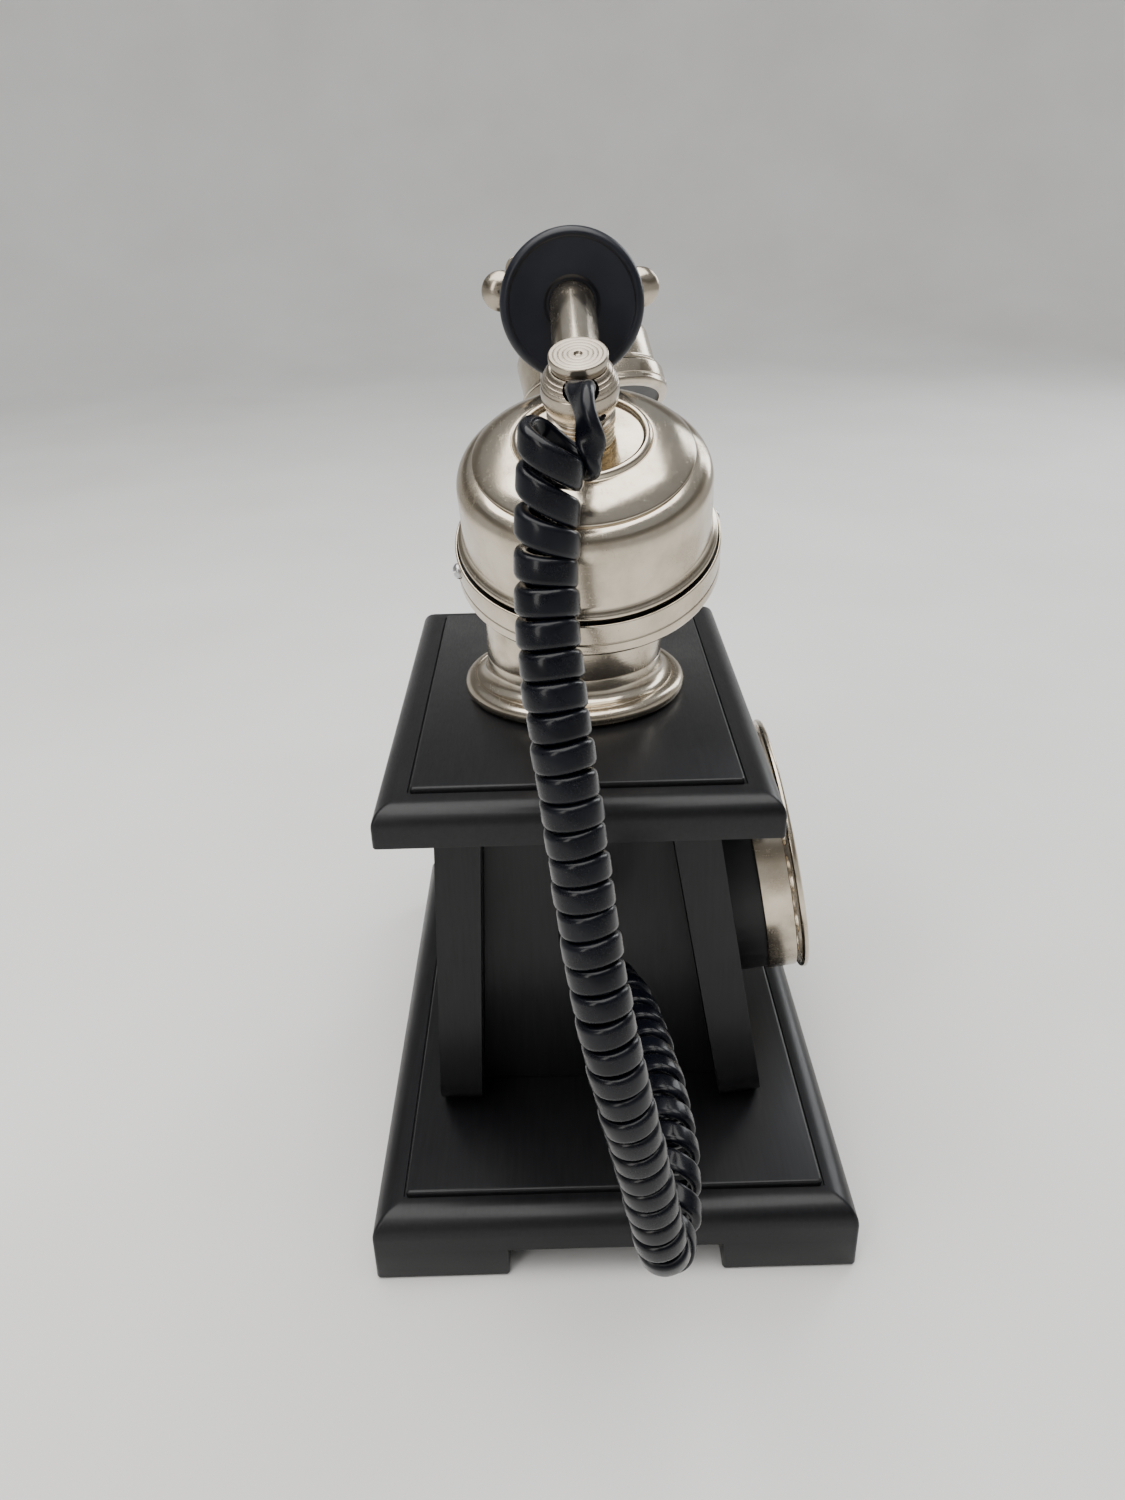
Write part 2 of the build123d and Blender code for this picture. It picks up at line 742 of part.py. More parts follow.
with BuildPart() as circuit_board:
    with BuildSketch(Plane.XY.offset(14)):
        Rectangle(90, 54)
    extrude(amount=1.6)
    with BuildSketch(Plane.XY.offset(15.6)):
        with GridLocations(80, 44, 2, 2):
            Circle(3)
    extrude(amount=pocket_roof - 15.6)
    with BuildSketch(Plane.XY.offset(14)):
        with Locations((-20, 5), (8, -10), (30, 8)):
            Rectangle(14, 10)
    extrude(amount=-1.8)
finish(circuit_board, "circuit_board")

gong_y = 11.0
gong_x = 15.7
gong_top = 46.0
pivot_height = 60.0
clapper_height = 41.0

with BuildPart() as ringer_frame:
    with BuildSketch(Plane.XY.offset(base_top)):
        with Locations((0, 12)):
            Rectangle(58, 32)
    extrude(amount=2)
    with BuildSketch(Plane.XY.offset(base_top + 2)):
        with Locations((0, 27)):
            Rectangle(30, 2)
    extrude(amount=41)
    with BuildSketch(Plane.XY.offset(base_top + 2)):
        with Locations((-gong_x, gong_y), (gong_x, gong_y)):
            Circle(2)
    extrude(amount=gong_top - base_top - 2)
    with BuildSketch(Plane(origin=(0, 26, pivot_height), x_dir=(1, 0, 0), z_dir=(0, -1, 0))):
        Circle(1.5)
    extrude(amount=26 - gong_y + 3)
finish(ringer_frame, "ringer_frame")

with BuildPart() as ringer_coils:
    with BuildSketch(Plane(origin=(0, 26, pivot_height - 2), x_dir=(1, 0, 0), z_dir=(0, -1, 0))):
        with Locations((-10, 0), (10, 0)):
            Circle(4.8)
    extrude(amount=10)
    chamfer(ringer_coils.edges().filter_by(GeomType.CIRCLE), 0.5)
finish(ringer_coils, "ringer_coils")

with BuildPart() as ringer_gongs:
    for side in (-1, 1):
        with BuildSketch(Plane(origin=(side * gong_x, gong_y, 0), x_dir=(1, 0, 0), z_dir=(0, -1, 0))):
            with BuildLine():
                ThreePointArc((12.4, gong_top - 8.5), (9.3, gong_top - 2.6), (2, gong_top))
                Line((2, gong_top), (2, gong_top - 1))
                ThreePointArc((2, gong_top - 1), (8.4, gong_top - 3.4), (11.4, gong_top - 8.5))
                Line((11.4, gong_top - 8.5), (12.4, gong_top - 8.5))
            make_face()
        revolve(axis=Axis((side * gong_x, gong_y, 0), (0, 0, 1)))
finish(ringer_gongs, "ringer_gongs")

with BuildPart() as ringer_clapper:
    with BuildSketch(Plane(origin=(0, gong_y + 1.5, pivot_height), x_dir=(1, 0, 0), z_dir=(0, -1, 0))):
        Circle(3.4)
    extrude(amount=3)
    with BuildSketch(Plane(origin=(0, gong_y, clapper_height))):
        Circle(0.9)
    extrude(amount=pivot_height - clapper_height - 2)
    with Locations((0, gong_y, clapper_height)):
        Sphere(2)
    with BuildSketch(Plane(origin=(0, gong_y + 1.5, pivot_height), x_dir=(1, 0, 0), z_dir=(0, -1, 0))):
        Circle(1.5 + rod_running_gap)
    extrude(amount=3, mode=Mode.SUBTRACT)
finish(ringer_clapper, "ringer_clapper")

# ---- Handset cord and its jack ----

jack_plane = Plane(origin=(-panel_outer_x - 1.2, jack_y, jack_height), x_dir=(0, 1, 0), z_dir=(1, 0, 0))
socket_depth = 9.0
plug_width = 7.2
plug_height = 6.6

with BuildPart() as cord_jack:
    with BuildSketch(jack_plane):
        Rectangle(14, 14)
    extrude(amount=13)
    with BuildSketch(jack_plane):
        Rectangle(plug_width, plug_height)
    extrude(amount=socket_depth, mode=Mode.SUBTRACT)
finish(cord_jack, "cord_jack")

plug_boot_end = -50.5
with BuildPart() as cord_plug:
    with BuildSketch(jack_plane.offset(-5.8)):
        Rectangle(plug_width, plug_height)
    extrude(amount=5.8 + socket_depth)
    with BuildSketch(jack_plane.offset(-5.8)):
        Circle(3.0)
    extrude(amount=plug_boot_end + panel_outer_x + 1.2 + 5.8)
finish(cord_plug, "cord_plug")

# The curled length, from under the transmitter's elbow to the jack.
cord_route = [
    (-132.4, 9.8, 232.4),
    (-132.8, 10.6, 224.6),
    (-134.6, 11.4, 214.5),
    (-138.0, 11.2, 201.5),
    (-142.0, 9.6, 188.0),
    (-145.5, 7.4, 170.0),
    (-149.5, 5.6, 153.5),
    (-153.5, 3.2, 138.0),
    (-154.3, 0.2, 121.0),
    (-152.8, -2.6, 104.5),
    (-151.5, -4.6, 91.0),
    (-148.5, -6.8, 81.8),
    (-140.5, -9.4, 77.8),
    (-128.5, -11.6, 78.6),
    (-112.0, -11.2, 79.6),
    (-94.0, -9.2, 79.4),
    (-78.0, -7.2, 78.6),
    (-66.5, -3.2, 78.8),
    (-57.8, 1.0, 79.3),
]
# The flat lead out of the elbow, and the one into the plug.
elbow_lead_route = [(-115.5, 5.8, 236.4), (-127.6, 6.8, 240.0), (-132.0, 9.3, 234.8)]
plug_lead_route = [(-57.8, 1.0, 79.3), (-55.0, 4.6, 79.5), (plug_boot_end, jack_y, jack_height)]


def bend_radii(points):
    """The largest tangent arc that each corner's two runs allow."""
    radii = []
    for before, here, after in zip(points, points[1:], points[2:]):
        run_in = Vector(here) - Vector(before)
        run_out = Vector(after) - Vector(here)
        half_turn = radians(run_in.get_angle(run_out)) / 2
        radii.append(0.45 * min(run_in.length, run_out.length) / tan(half_turn))
    return radii


for name, route, radius in (
    ("handset_cord", cord_route, cord_radius),
    ("elbow_lead", elbow_lead_route, lead_radius),
    ("plug_lead", plug_lead_route, lead_radius),
):
    with BuildPart() as tube:
        with BuildLine() as centre_line:
            FilletPolyline(*route, radius=bend_radii(route))
        path = centre_line.wires()[0]
        with BuildSketch(Plane(origin=path @ 0, z_dir=path % 0)):
            Circle(radius)
        sweep(path=path)
    finish(tube, name)
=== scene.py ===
"""Looks of the desk telephone: its own meshes and materials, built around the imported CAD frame.

Lengths are millimetres in the tables and functions here, and turn into metres where a mesh is made.
"""

import json
from math import atan2, cos, hypot, pi, radians, sin, tan, tau

import bmesh
import bpy
import numpy as np
from mathutils import Matrix, Vector

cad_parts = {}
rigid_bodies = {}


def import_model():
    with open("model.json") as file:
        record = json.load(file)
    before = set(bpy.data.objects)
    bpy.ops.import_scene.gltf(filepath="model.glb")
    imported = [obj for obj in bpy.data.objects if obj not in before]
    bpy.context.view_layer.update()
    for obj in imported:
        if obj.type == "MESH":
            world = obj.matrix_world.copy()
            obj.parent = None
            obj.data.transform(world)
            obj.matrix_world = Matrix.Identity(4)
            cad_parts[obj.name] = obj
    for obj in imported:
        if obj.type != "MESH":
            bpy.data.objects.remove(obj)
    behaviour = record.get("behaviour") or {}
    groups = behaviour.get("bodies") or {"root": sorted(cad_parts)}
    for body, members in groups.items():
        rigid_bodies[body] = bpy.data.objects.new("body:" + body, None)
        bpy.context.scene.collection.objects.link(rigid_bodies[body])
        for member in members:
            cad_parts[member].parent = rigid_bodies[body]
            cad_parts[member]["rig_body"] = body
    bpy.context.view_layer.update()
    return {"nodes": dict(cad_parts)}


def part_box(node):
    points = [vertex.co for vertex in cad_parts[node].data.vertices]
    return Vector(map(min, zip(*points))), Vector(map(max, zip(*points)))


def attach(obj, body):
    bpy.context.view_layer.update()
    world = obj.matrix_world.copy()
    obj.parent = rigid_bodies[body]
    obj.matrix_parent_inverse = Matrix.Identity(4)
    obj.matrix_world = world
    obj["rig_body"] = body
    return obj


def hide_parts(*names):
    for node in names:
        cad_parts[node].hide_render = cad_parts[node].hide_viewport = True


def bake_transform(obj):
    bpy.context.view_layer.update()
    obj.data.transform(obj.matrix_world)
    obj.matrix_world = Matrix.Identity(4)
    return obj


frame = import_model()
nodes = frame["nodes"]
mm = 0.001

# ---- Camera ----

camera_data = bpy.data.cameras.new("camera")
camera_data.sensor_width = 36
camera_data.lens = 27.57
camera = bpy.data.objects.new("camera", camera_data)
camera_place = Vector((-307.8, 10.6, 270.5)) * mm
camera_turn = -90.0  # looks along +X
camera_down = 26.9
camera_roll = -1.65
camera.matrix_world = (
    Matrix.Translation(camera_place)
    @ Matrix.Rotation(radians(camera_turn), 4, "Z")
    @ Matrix.Rotation(radians(90 - camera_down), 4, "X")
    @ Matrix.Rotation(radians(camera_roll), 4, "Z")
)
bpy.context.scene.collection.objects.link(camera)
bpy.context.scene.camera = camera


# ---- Finishes: one procedural material for each kind of surface ----


lathe_stretch = (0.6, 1, 1)  # once round a piece, and along its profile


class Finish:
    """A node material while it is put together."""

    def __init__(self, name, **sockets):
        self.material = bpy.data.materials.new(name)
        self.material.use_nodes = True
        self.tree = self.material.node_tree
        self.shader = self.tree.nodes["Principled BSDF"]
        for socket, value in sockets.items():
            self.shader.inputs[socket.replace("_", " ")].default_value = value
        self.place = self.add("ShaderNodeTexCoord")

    def add(self, kind, **inputs):
        node = self.tree.nodes.new(kind)
        for socket, value in inputs.items():
            node.inputs[socket.replace("_", " ")].default_value = value
        return node

    def join(self, output, target):
        self.tree.links.new(output, target)

    def noise(self, size, stretch=(1, 1, 1), detail=4.0, rough=0.55, lathe=False):
        """Noise with features of about size mm, drawn out by stretch.

        A lathe pattern runs round a turned piece.
        """
        mapping = self.add("ShaderNodeMapping")
        if lathe:
            mapping.inputs["Scale"].default_value = lathe_stretch
            self.join(self.place.outputs["UV"], mapping.inputs["Vector"])
            scale = 1 / size
        else:
            mapping.inputs["Scale"].default_value = tuple(1 / s for s in stretch)
            self.join(self.place.outputs["Object"], mapping.inputs["Vector"])
            scale = 1 / (size * mm)
        texture = self.add("ShaderNodeTexNoise", Scale=scale, Detail=detail, Roughness=rough)
        self.join(mapping.outputs["Vector"], texture.inputs["Vector"])
        return texture.outputs["Fac"]

    def between(self, source, low, high, start=0.3, end=0.7):
        """The source, spread from low to high as it goes from start to end."""
        spread = self.add("ShaderNodeMapRange", From_Min=start, From_Max=end, To_Min=low, To_Max=high)
        self.join(source, spread.inputs["Value"])
        return spread.outputs["Result"]

    def sum(self, first, second):
        total = self.add("ShaderNodeMath")
        self.join(first, total.inputs[0])
        self.join(second, total.inputs[1])
        return total.outputs["Value"]

    def colour(self, source, first, second, start=0.35, end=0.65):
        """Base colour that varies from first to second with the source."""
        ramp = self.add("ShaderNodeValToRGB")
        for element, position, tint in zip(ramp.color_ramp.elements, (start, end), (first, second)):
            element.position = position
            element.color = (*tint, 1)
        self.join(source, ramp.inputs["Fac"])
        self.join(ramp.outputs["Color"], self.shader.inputs["Base Color"])

    def roughness(self, source):
        self.join(source, self.shader.inputs["Roughness"])

    def bump(self, *layers):
        """Bumps laid over each other, each a source and its height in mm."""
        below = None
        for source, height in layers:
            bump = self.add("ShaderNodeBump", Distance=height * mm, Strength=1.0)
            self.join(source, bump.inputs["Height"])
            if below is not None:
                self.join(below, bump.inputs["Normal"])
            below = bump.outputs["Normal"]
        self.join(below, self.shader.inputs["Normal"])


def metal(name, bright, dull, smooth, worn, lathe):
    """Plated or bare metal, smudged and finely scratched. A turned one also has its lathe marks."""
    finish = Finish(name, Metallic=1.0)
    smudge = finish.noise(9, detail=6)
    scratch = finish.noise(0.5, stretch=(1, 14, 1), detail=3)
    cross_scratch = finish.noise(0.5, stretch=(12, 1, 3), detail=3)
    finish.colour(smudge, bright, dull)
    shine = finish.between(smudge, smooth, worn)
    wear = finish.between(finish.sum(scratch, cross_scratch), 0.0, 0.10, 1.05, 1.35)
    finish.roughness(finish.sum(shine, wear))
    layers = [(scratch, 0.0012), (cross_scratch, 0.0012)]
    if lathe:
        layers.append((finish.noise(0.16, detail=2, lathe=True), 0.0035))
        layers.append((finish.noise(0.9, detail=1, lathe=True), 0.006))
    else:
        layers.append((finish.noise(2.5, detail=2), 0.004))
    finish.bump(*layers)
    return finish.material


def lacquered_wood(name, stretch):
    """Near-black satin lacquer over fine open grain that runs the way stretch draws it."""
    finish = Finish(name, Coat_Weight=0.12, Coat_Roughness=0.2, Specular_IOR_Level=0.24)
    grain = finish.noise(1.1, stretch=stretch, detail=8, rough=0.7)
    pores = finish.noise(0.35, stretch=tuple(1 + 0.4 * (s - 1) for s in stretch), detail=3)
    cloud = finish.noise(28, detail=5)
    finish.colour(grain, (0.0036, 0.0037, 0.0046), (0.0075, 0.0075, 0.0088))
    finish.roughness(finish.sum(finish.between(cloud, 0.30, 0.40), finish.between(pores, 0.0, 0.08)))
    finish.bump((grain, 0.010), (pores, 0.006), (finish.noise(6, detail=3), 0.015))
    return finish.material


def plastic(name, first, second, smooth, worn, orange_peel=0.006, **sockets):
    """Moulded plastic: a shade of variation, smudges and a faint ripple in the surface."""
    finish = Finish(name, **sockets)
    smudge = finish.noise(7, detail=6)
    fine = finish.noise(0.4, detail=3)
    finish.colour(smudge, first, second)
    finish.roughness(finish.sum(finish.between(smudge, smooth, worn), finish.between(fine, 0.0, 0.05)))
    finish.bump((fine, orange_peel), (finish.noise(1.8, detail=2), 2 * orange_peel))
    return finish.material


def woven_felt(name):
    finish = Finish(name, Sheen_Weight=0.4, Sheen_Roughness=0.6)
    fibre = finish.noise(0.25, detail=6, rough=0.75)
    tuft = finish.noise(1.4, detail=4)
    finish.colour(tuft, (0.012, 0.016, 0.013), (0.03, 0.036, 0.03))
    finish.roughness(finish.between(fibre, 0.85, 1.0))
    finish.bump((fibre, 0.12), (tuft, 0.2))
    return finish.material


def laminated_board(name, first, second, layer):
    """Pressed board or circuit laminate."""
    finish = Finish(name)
    fleck = finish.noise(0.8, stretch=(3, 1, 1), detail=7, rough=0.7)
    finish.colour(fleck, first, second)
    finish.roughness(finish.between(fleck, 0.5, 0.75))
    finish.bump((fleck, layer))
    return finish.material


bright_nickel = (0.61, 0.54, 0.435)
dull_nickel = (0.45, 0.385, 0.295)
finishes = {
    "nickel": metal("nickel_plate", bright_nickel, dull_nickel, 0.13, 0.27, False),
    "turned_nickel": metal("turned_nickel_plate", bright_nickel, dull_nickel, 0.13, 0.27, True),
    "dark_nickel": metal("tarnished_nickel", (0.47, 0.41, 0.33), (0.33, 0.285, 0.225), 0.16, 0.28, True),
    "brushed_disc": metal("turned_disc_nickel", (0.42, 0.37, 0.30), (0.31, 0.27, 0.215), 0.26, 0.38, True),
    "steel": metal("bright_steel", (0.56, 0.56, 0.57), (0.46, 0.46, 0.47), 0.22, 0.34, False),
    "brass": metal("worn_brass", (0.62, 0.53, 0.37), (0.50, 0.42, 0.29), 0.20, 0.34, True),
    "copper": metal("copper_winding", (0.62, 0.28, 0.16), (0.5, 0.22, 0.12), 0.3, 0.4, False),
    "wood_along_x": lacquered_wood("black_lacquer_x", (14, 1, 1)),
    "wood_upright": lacquered_wood("black_lacquer_z", (1, 1, 14)),
    "satin_plastic": plastic(
        "blue_black_satin", (0.0035, 0.0045, 0.009), (0.007, 0.0085, 0.0145),
        0.30, 0.40, Specular_IOR_Level=0.32,
    ),
    "black_plastic": plastic(
        "black_plastic", (0.004, 0.004, 0.005), (0.008, 0.008, 0.009),
        0.34, 0.46, Specular_IOR_Level=0.35,
    ),
    "clear_plastic": plastic(
        "smoky_plastic", (0.30, 0.31, 0.32), (0.38, 0.39, 0.40), 0.12, 0.2
    ),
    "cord_jacket": plastic(
        "cord_jacket", (0.0014, 0.0018, 0.0038), (0.003, 0.0038, 0.007), 0.20, 0.30,
        orange_peel=0.003, Coat_Weight=0.12, Coat_Roughness=0.07, Specular_IOR_Level=0.2,
    ),
    "enamel": plastic(
        "ivory_enamel", (0.72, 0.70, 0.64), (0.78, 0.76, 0.71),
        0.16, 0.26, Coat_Weight=0.5, Coat_Roughness=0.08,
    ),
    "ink": plastic("black_ink", (0.012, 0.012, 0.014), (0.02, 0.02, 0.022), 0.4, 0.5),
    "felt": woven_felt("dark_felt"),
    "hardboard": laminated_board("hardboard", (0.10, 0.062, 0.036), (0.16, 0.105, 0.064), 0.05),
    "circuit": laminated_board("circuit_laminate", (0.02, 0.09, 0.05), (0.035, 0.13, 0.075), 0.02),
}

# ---- Mesh helpers ----


def add_piece(name, mesh, body, finish, replaced=()):
    """A finished mesh as a piece on a body, in place of the CAD nodes it stands for."""
    piece = bpy.data.objects.new(name, mesh)
    bpy.context.scene.collection.objects.link(piece)
    mesh.materials.clear()
    mesh.materials.append(finishes[finish])
    if body:
        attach(piece, body)
    if replaced:
        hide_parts(*replaced)
    return piece


def mesh_from(bm, name, sharp=None):
    """Writes a bmesh out, smooth except where faces meet at more than sharp degrees."""
    bmesh.ops.recalc_face_normals(bm, faces=bm.faces)
    mesh = bpy.data.meshes.new(name)
    bm.to_mesh(mesh)
    bm.free()
    mesh.polygons.foreach_set("use_smooth", [True] * len(mesh.polygons))
    if sharp:
        mesh.set_sharp_from_angle(angle=radians(sharp))
    return mesh


def arc(start, middle, end, steps=8):
    """Points on the circle through three points, from start to end."""
    (ax, ay), (bx, by), (cx, cy) = start, middle, end
    twice_area = 2 * (ax * (by - cy) + bx * (cy - ay) + cx * (ay - by))
    a2, b2, c2 = ax * ax + ay * ay, bx * bx + by * by, cx * cx + cy * cy
    ux = (a2 * (by - cy) + b2 * (cy - ay) + c2 * (ay - by)) / twice_area
    uy = (a2 * (cx - bx) + b2 * (ax - cx) + c2 * (bx - ax)) / twice_area
    first = atan2(ay - uy, ax - ux)
    through = (atan2(by - uy, bx - ux) - first) % tau
    sweep = (atan2(cy - uy, cx - ux) - first) % tau
    if through > sweep:
        sweep -= tau
    radius = hypot(ax - ux, ay - uy)
    turns = [first + sweep * i / steps for i in range(steps + 1)]
    return [(ux + radius * cos(t), uy + radius * sin(t)) for t in turns]


def rounded_corners(points, radius, steps=3, closed=False):
    """The outline with each real corner rounded, by less where its sides are short."""
    count = len(points)
    result = []
    for i, here in enumerate(points):
        if not closed and i in (0, count - 1):
            result.append(here)
            continue
        here = Vector(here)
        before, after = Vector(points[i - 1]), Vector(points[(i + 1) % count])
        way_in, way_out = here - before, after - here
        if min(way_in.length, way_out.length) < 1e-6 or way_in.angle(way_out) < radians(20):
            result.append(tuple(here))
            continue
        cut = min(radius, 0.4 * way_in.length, 0.4 * way_out.length)
        first, last = here - way_in.normalized() * cut, here + way_out.normalized() * cut
        for step in range(steps + 1):
            t = step / steps
            result.append(tuple(first * (1 - t) ** 2 + here * 2 * t * (1 - t) + last * t * t))
    return result


def turned_mesh(name, profile, place, rounding=0.18, sides=144, closed=False):
    """A profile of (radius, height) points turned about the local Z of place."""
    outline = rounded_corners(profile, rounding, closed=closed)
    bm = bmesh.new()
    uv = bm.loops.layers.uv.new("UVMap")
    rings, travelled = [], [0.0]
    for i, (radius, height) in enumerate(outline):
        if i:
            travelled.append(travelled[-1] + (Vector(outline[i]) - Vector(outline[i - 1])).length)
        if radius < 1e-6:
            rings.append([bm.verts.new(place @ (Vector((0, 0, height)) * mm))] * sides)
            continue
        ring = []
        for side in range(sides):
            turn = tau * side / sides
            point = Vector((radius * cos(turn), radius * sin(turn), height))
            ring.append(bm.verts.new(place @ (point * mm)))
        rings.append(ring)
    spans = len(rings) if closed else len(rings) - 1
    travelled.append(travelled[-1])
    for i in range(spans):
        low, high = rings[i], rings[(i + 1) % len(rings)]
        for side in range(sides):
            after = (side + 1) % sides
            corners, marks = [], []
            for ring, step, at, along in (
                (low, side, travelled[i], side), (low, after, travelled[i], side + 1),
                (high, after, travelled[i + 1], side + 1), (high, side, travelled[i + 1], side),
            ):
                if ring[step] not in corners:
                    corners.append(ring[step])
                    marks.append((along / sides, at))
            if len(corners) > 2:
                face = bm.faces.new(corners)
                for loop, mark in zip(face.loops, marks):
                    loop[uv].uv = mark
    return mesh_from(bm, name, sharp=50)


def turned(node, profile, place, body, slot, finish, **options):
    """A turned piece in place of a CAD node."""
    name = f"{node}_turned"
    return add_piece(name, turned_mesh(name, profile, place, **options), body, finish, [node])


def rounded_rectangle(half_x, half_y, corner, steps=5):
    """Points round a rectangle with rounded corners."""
    points = []
    for quarter, (sx, sy) in enumerate(((1, 1), (-1, 1), (-1, -1), (1, -1))):
        for step in range(steps + 1):
            turn = (quarter + step / steps) * pi / 2
            points.append(
                (sx * (half_x - corner) + corner * cos(turn), sy * (half_y - corner) + corner * sin(turn))
            )
    return points


def stacked_mesh(name, rings, centre):
    """Rounded rectangles joined one to the next, capped at both ends.

    A ring is (half x, half y, corner, z).
    """
    bm = bmesh.new()
    rows = []
    for half_x, half_y, corner, z in rings:
        outline = rounded_rectangle(half_x, half_y, corner)
        rows.append([bm.verts.new(Vector((centre[0] + x, centre[1] + y, z)) * mm) for x, y in outline])
    count = len(rows[0])
    for low, high in zip(rows, rows[1:]):
        for i in range(count):
            bm.faces.new((low[i], low[(i + 1) % count], high[(i + 1) % count], high[i]))
    bm.faces.new(rows[0])
    bm.faces.new(rows[-1])
    return mesh_from(bm, name, sharp=40)


def clean_copy(node):
    """A CAD node's shape as plain faces, without the edges that cross its flat sides."""
    bm = bmesh.new()
    bm.from_mesh(nodes[node].data)
    bmesh.ops.remove_doubles(bm, verts=bm.verts, dist=0.001 * mm)
    bmesh.ops.dissolve_limit(bm, angle_limit=radians(0.5), verts=bm.verts, edges=bm.edges)
    corners = [tuple(v.co) for v in bm.verts]
    bm.verts.index_update()
    faces = [[v.index for v in face.verts] for face in bm.faces]
    bm.free()
    mesh = bpy.data.meshes.new(f"{node}_softened")
    mesh.from_pydata(corners, [], faces)
    mesh.update()
    return mesh


def softened(node, finish, width, sharp=30, steps=3):
    """A CAD node's shape with its sharp edges rounded."""
    mesh = clean_copy(node)
    mesh.polygons.foreach_set("use_smooth", [True] * len(mesh.polygons))
    mesh.set_sharp_from_angle(angle=radians(sharp))
    body = nodes[node]["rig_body"]
    piece = add_piece(f"{node}_softened", mesh, body, finish, [node])
    bevel = piece.modifiers.new("rounded_edges", "BEVEL")
    bevel.width = width * mm
    bevel.segments = steps
    bevel.limit_method = "ANGLE"
    bevel.angle_limit = radians(sharp)
    bevel.harden_normals = True
    return piece


def cut(piece, cutters, hole_shade_finish=None):
    """Cuts meshes out of a piece for good. The cut faces may take a dark finish of their own, as painted
    shade inside a hole.
    """
    for cutter_mesh in cutters:
        if hole_shade_finish:
            cutter_mesh.materials.clear()
            cutter_mesh.materials.append(finishes[hole_shade_finish])
        cutter = bpy.data.objects.new("cutter", cutter_mesh)
        bpy.context.scene.collection.objects.link(cutter)
        boolean = piece.modifiers.new("cut", "BOOLEAN")
        boolean.object = cutter
        boolean.solver = "EXACT"
        boolean.material_mode = "TRANSFER"
        bpy.context.view_layer.update()
        shaped = piece.evaluated_get(bpy.context.evaluated_depsgraph_get())
        result = bpy.data.meshes.new_from_object(shaped)
        piece.modifiers.remove(boolean)
        piece.data = result
        bpy.data.objects.remove(cutter)
    piece.data.set_sharp_from_angle(angle=radians(50))


def placed(origin, up, outward):
    """Matrix of a local frame, its Z along up and its X along outward, with its origin in mm."""
    up = Vector(up).normalized()
    across = up.cross(Vector(outward)).normalized()
    matrix = Matrix((across.cross(up), across, up)).transposed().to_4x4()
    matrix.translation = Vector(origin) * mm
    return matrix


# ---- Curly cord: one flat lead from the handset's elbow, through its coil, to the jack ----

coil_route = [
    (-132.2, 11.0, 233.0),
    (-132.6, 11.6, 225.6),
    (-134.2, 12.5, 214.5),
    (-138.0, 12.4, 201.5),
    (-142.0, 10.8, 188.0),
    (-145.5, 8.6, 170.0),
    (-149.5, 6.8, 153.5),
    (-153.5, 4.3, 138.0),
    (-154.3, 1.0, 121.0),
    (-152.8, -2.2, 104.5),
    (-152.2, -4.8, 90.0),
    (-150.6, -7.0, 76.8),
    (-141.4, -9.8, 72.8),
    (-128.5, -11.8, 77.0),
    (-112.0, -11.2, 79.6),
    (-94.0, -9.2, 79.4),
    (-78.0, -7.2, 78.6),
    (-66.5, -3.2, 78.8),
    (-57.8, 1.0, 79.3),
]
ribbon_width = 4.7
ribbon_thickness = 2.4
coil_radius = 4.0  # to the middle of the ribbon
tight_pitch = 4.78
loose_pitch = 6.0
loose_start = 4.0  # along the coil's middle line, as are the next four
loose_end = 22.0
settled_end = 26.0
stretched_blend = 160.0
stretched_start = 172.0
stretched_pitch = 6.3
loose_tilt = 1.2
settled_tilt = -0.95  # brings the front of each turn level
turn_steps = 44
tail_length = 7.0  # over which the last turn closes in on the lead


def nurbs_line(name, points):
    """Points in mm along the smooth curve that the route's points control."""
    curve = bpy.data.curves.new(name, "CURVE")
    curve.dimensions = "3D"
    curve.resolution_u = 48
    spline = curve.splines.new("NURBS")
    spline.points.add(len(points) - 1)
    for target, point in zip(spline.points, points):
        target.co = (*(Vector(point) * mm), 1)
    spline.order_u = 3
    spline.use_endpoint_u = True
    holder = bpy.data.objects.new(name, curve)
    mesh = bpy.data.meshes.new_from_object(holder)
    line = np.array([v.co for v in mesh.vertices]) / mm
    bpy.data.objects.remove(holder)
    bpy.data.curves.remove(curve)
    bpy.data.meshes.remove(mesh)
    return line


def lengths_along(line):
    return np.concatenate(([0.0], np.cumsum(np.linalg.norm(np.diff(line, axis=0), axis=1))))


def resampled(line, step):
    """The line's points again, evenly spaced."""
    travelled = lengths_along(line)
    wanted = np.linspace(0, travelled[-1], int(travelled[-1] / step) + 1)
    return np.stack([np.interp(wanted, travelled, line[:, axis]) for axis in range(3)], 1)


def tangents(line):
    slopes = np.gradient(line, axis=0)
    return slopes / np.linalg.norm(slopes, axis=1)[:, None]


def carried(start, directions):
    """A direction square to the line, carried along it without twist."""
    result = []
    current = np.array(start, float)
    for direction in directions:
        current = current - direction * (current @ direction)
        current /= np.linalg.norm(current)
        result.append(current)
    return np.array(result)


def eased(value, start, end):
    t = np.clip((value - start) / (end - start), 0, 1)
    return t * t * (3 - 2 * t)


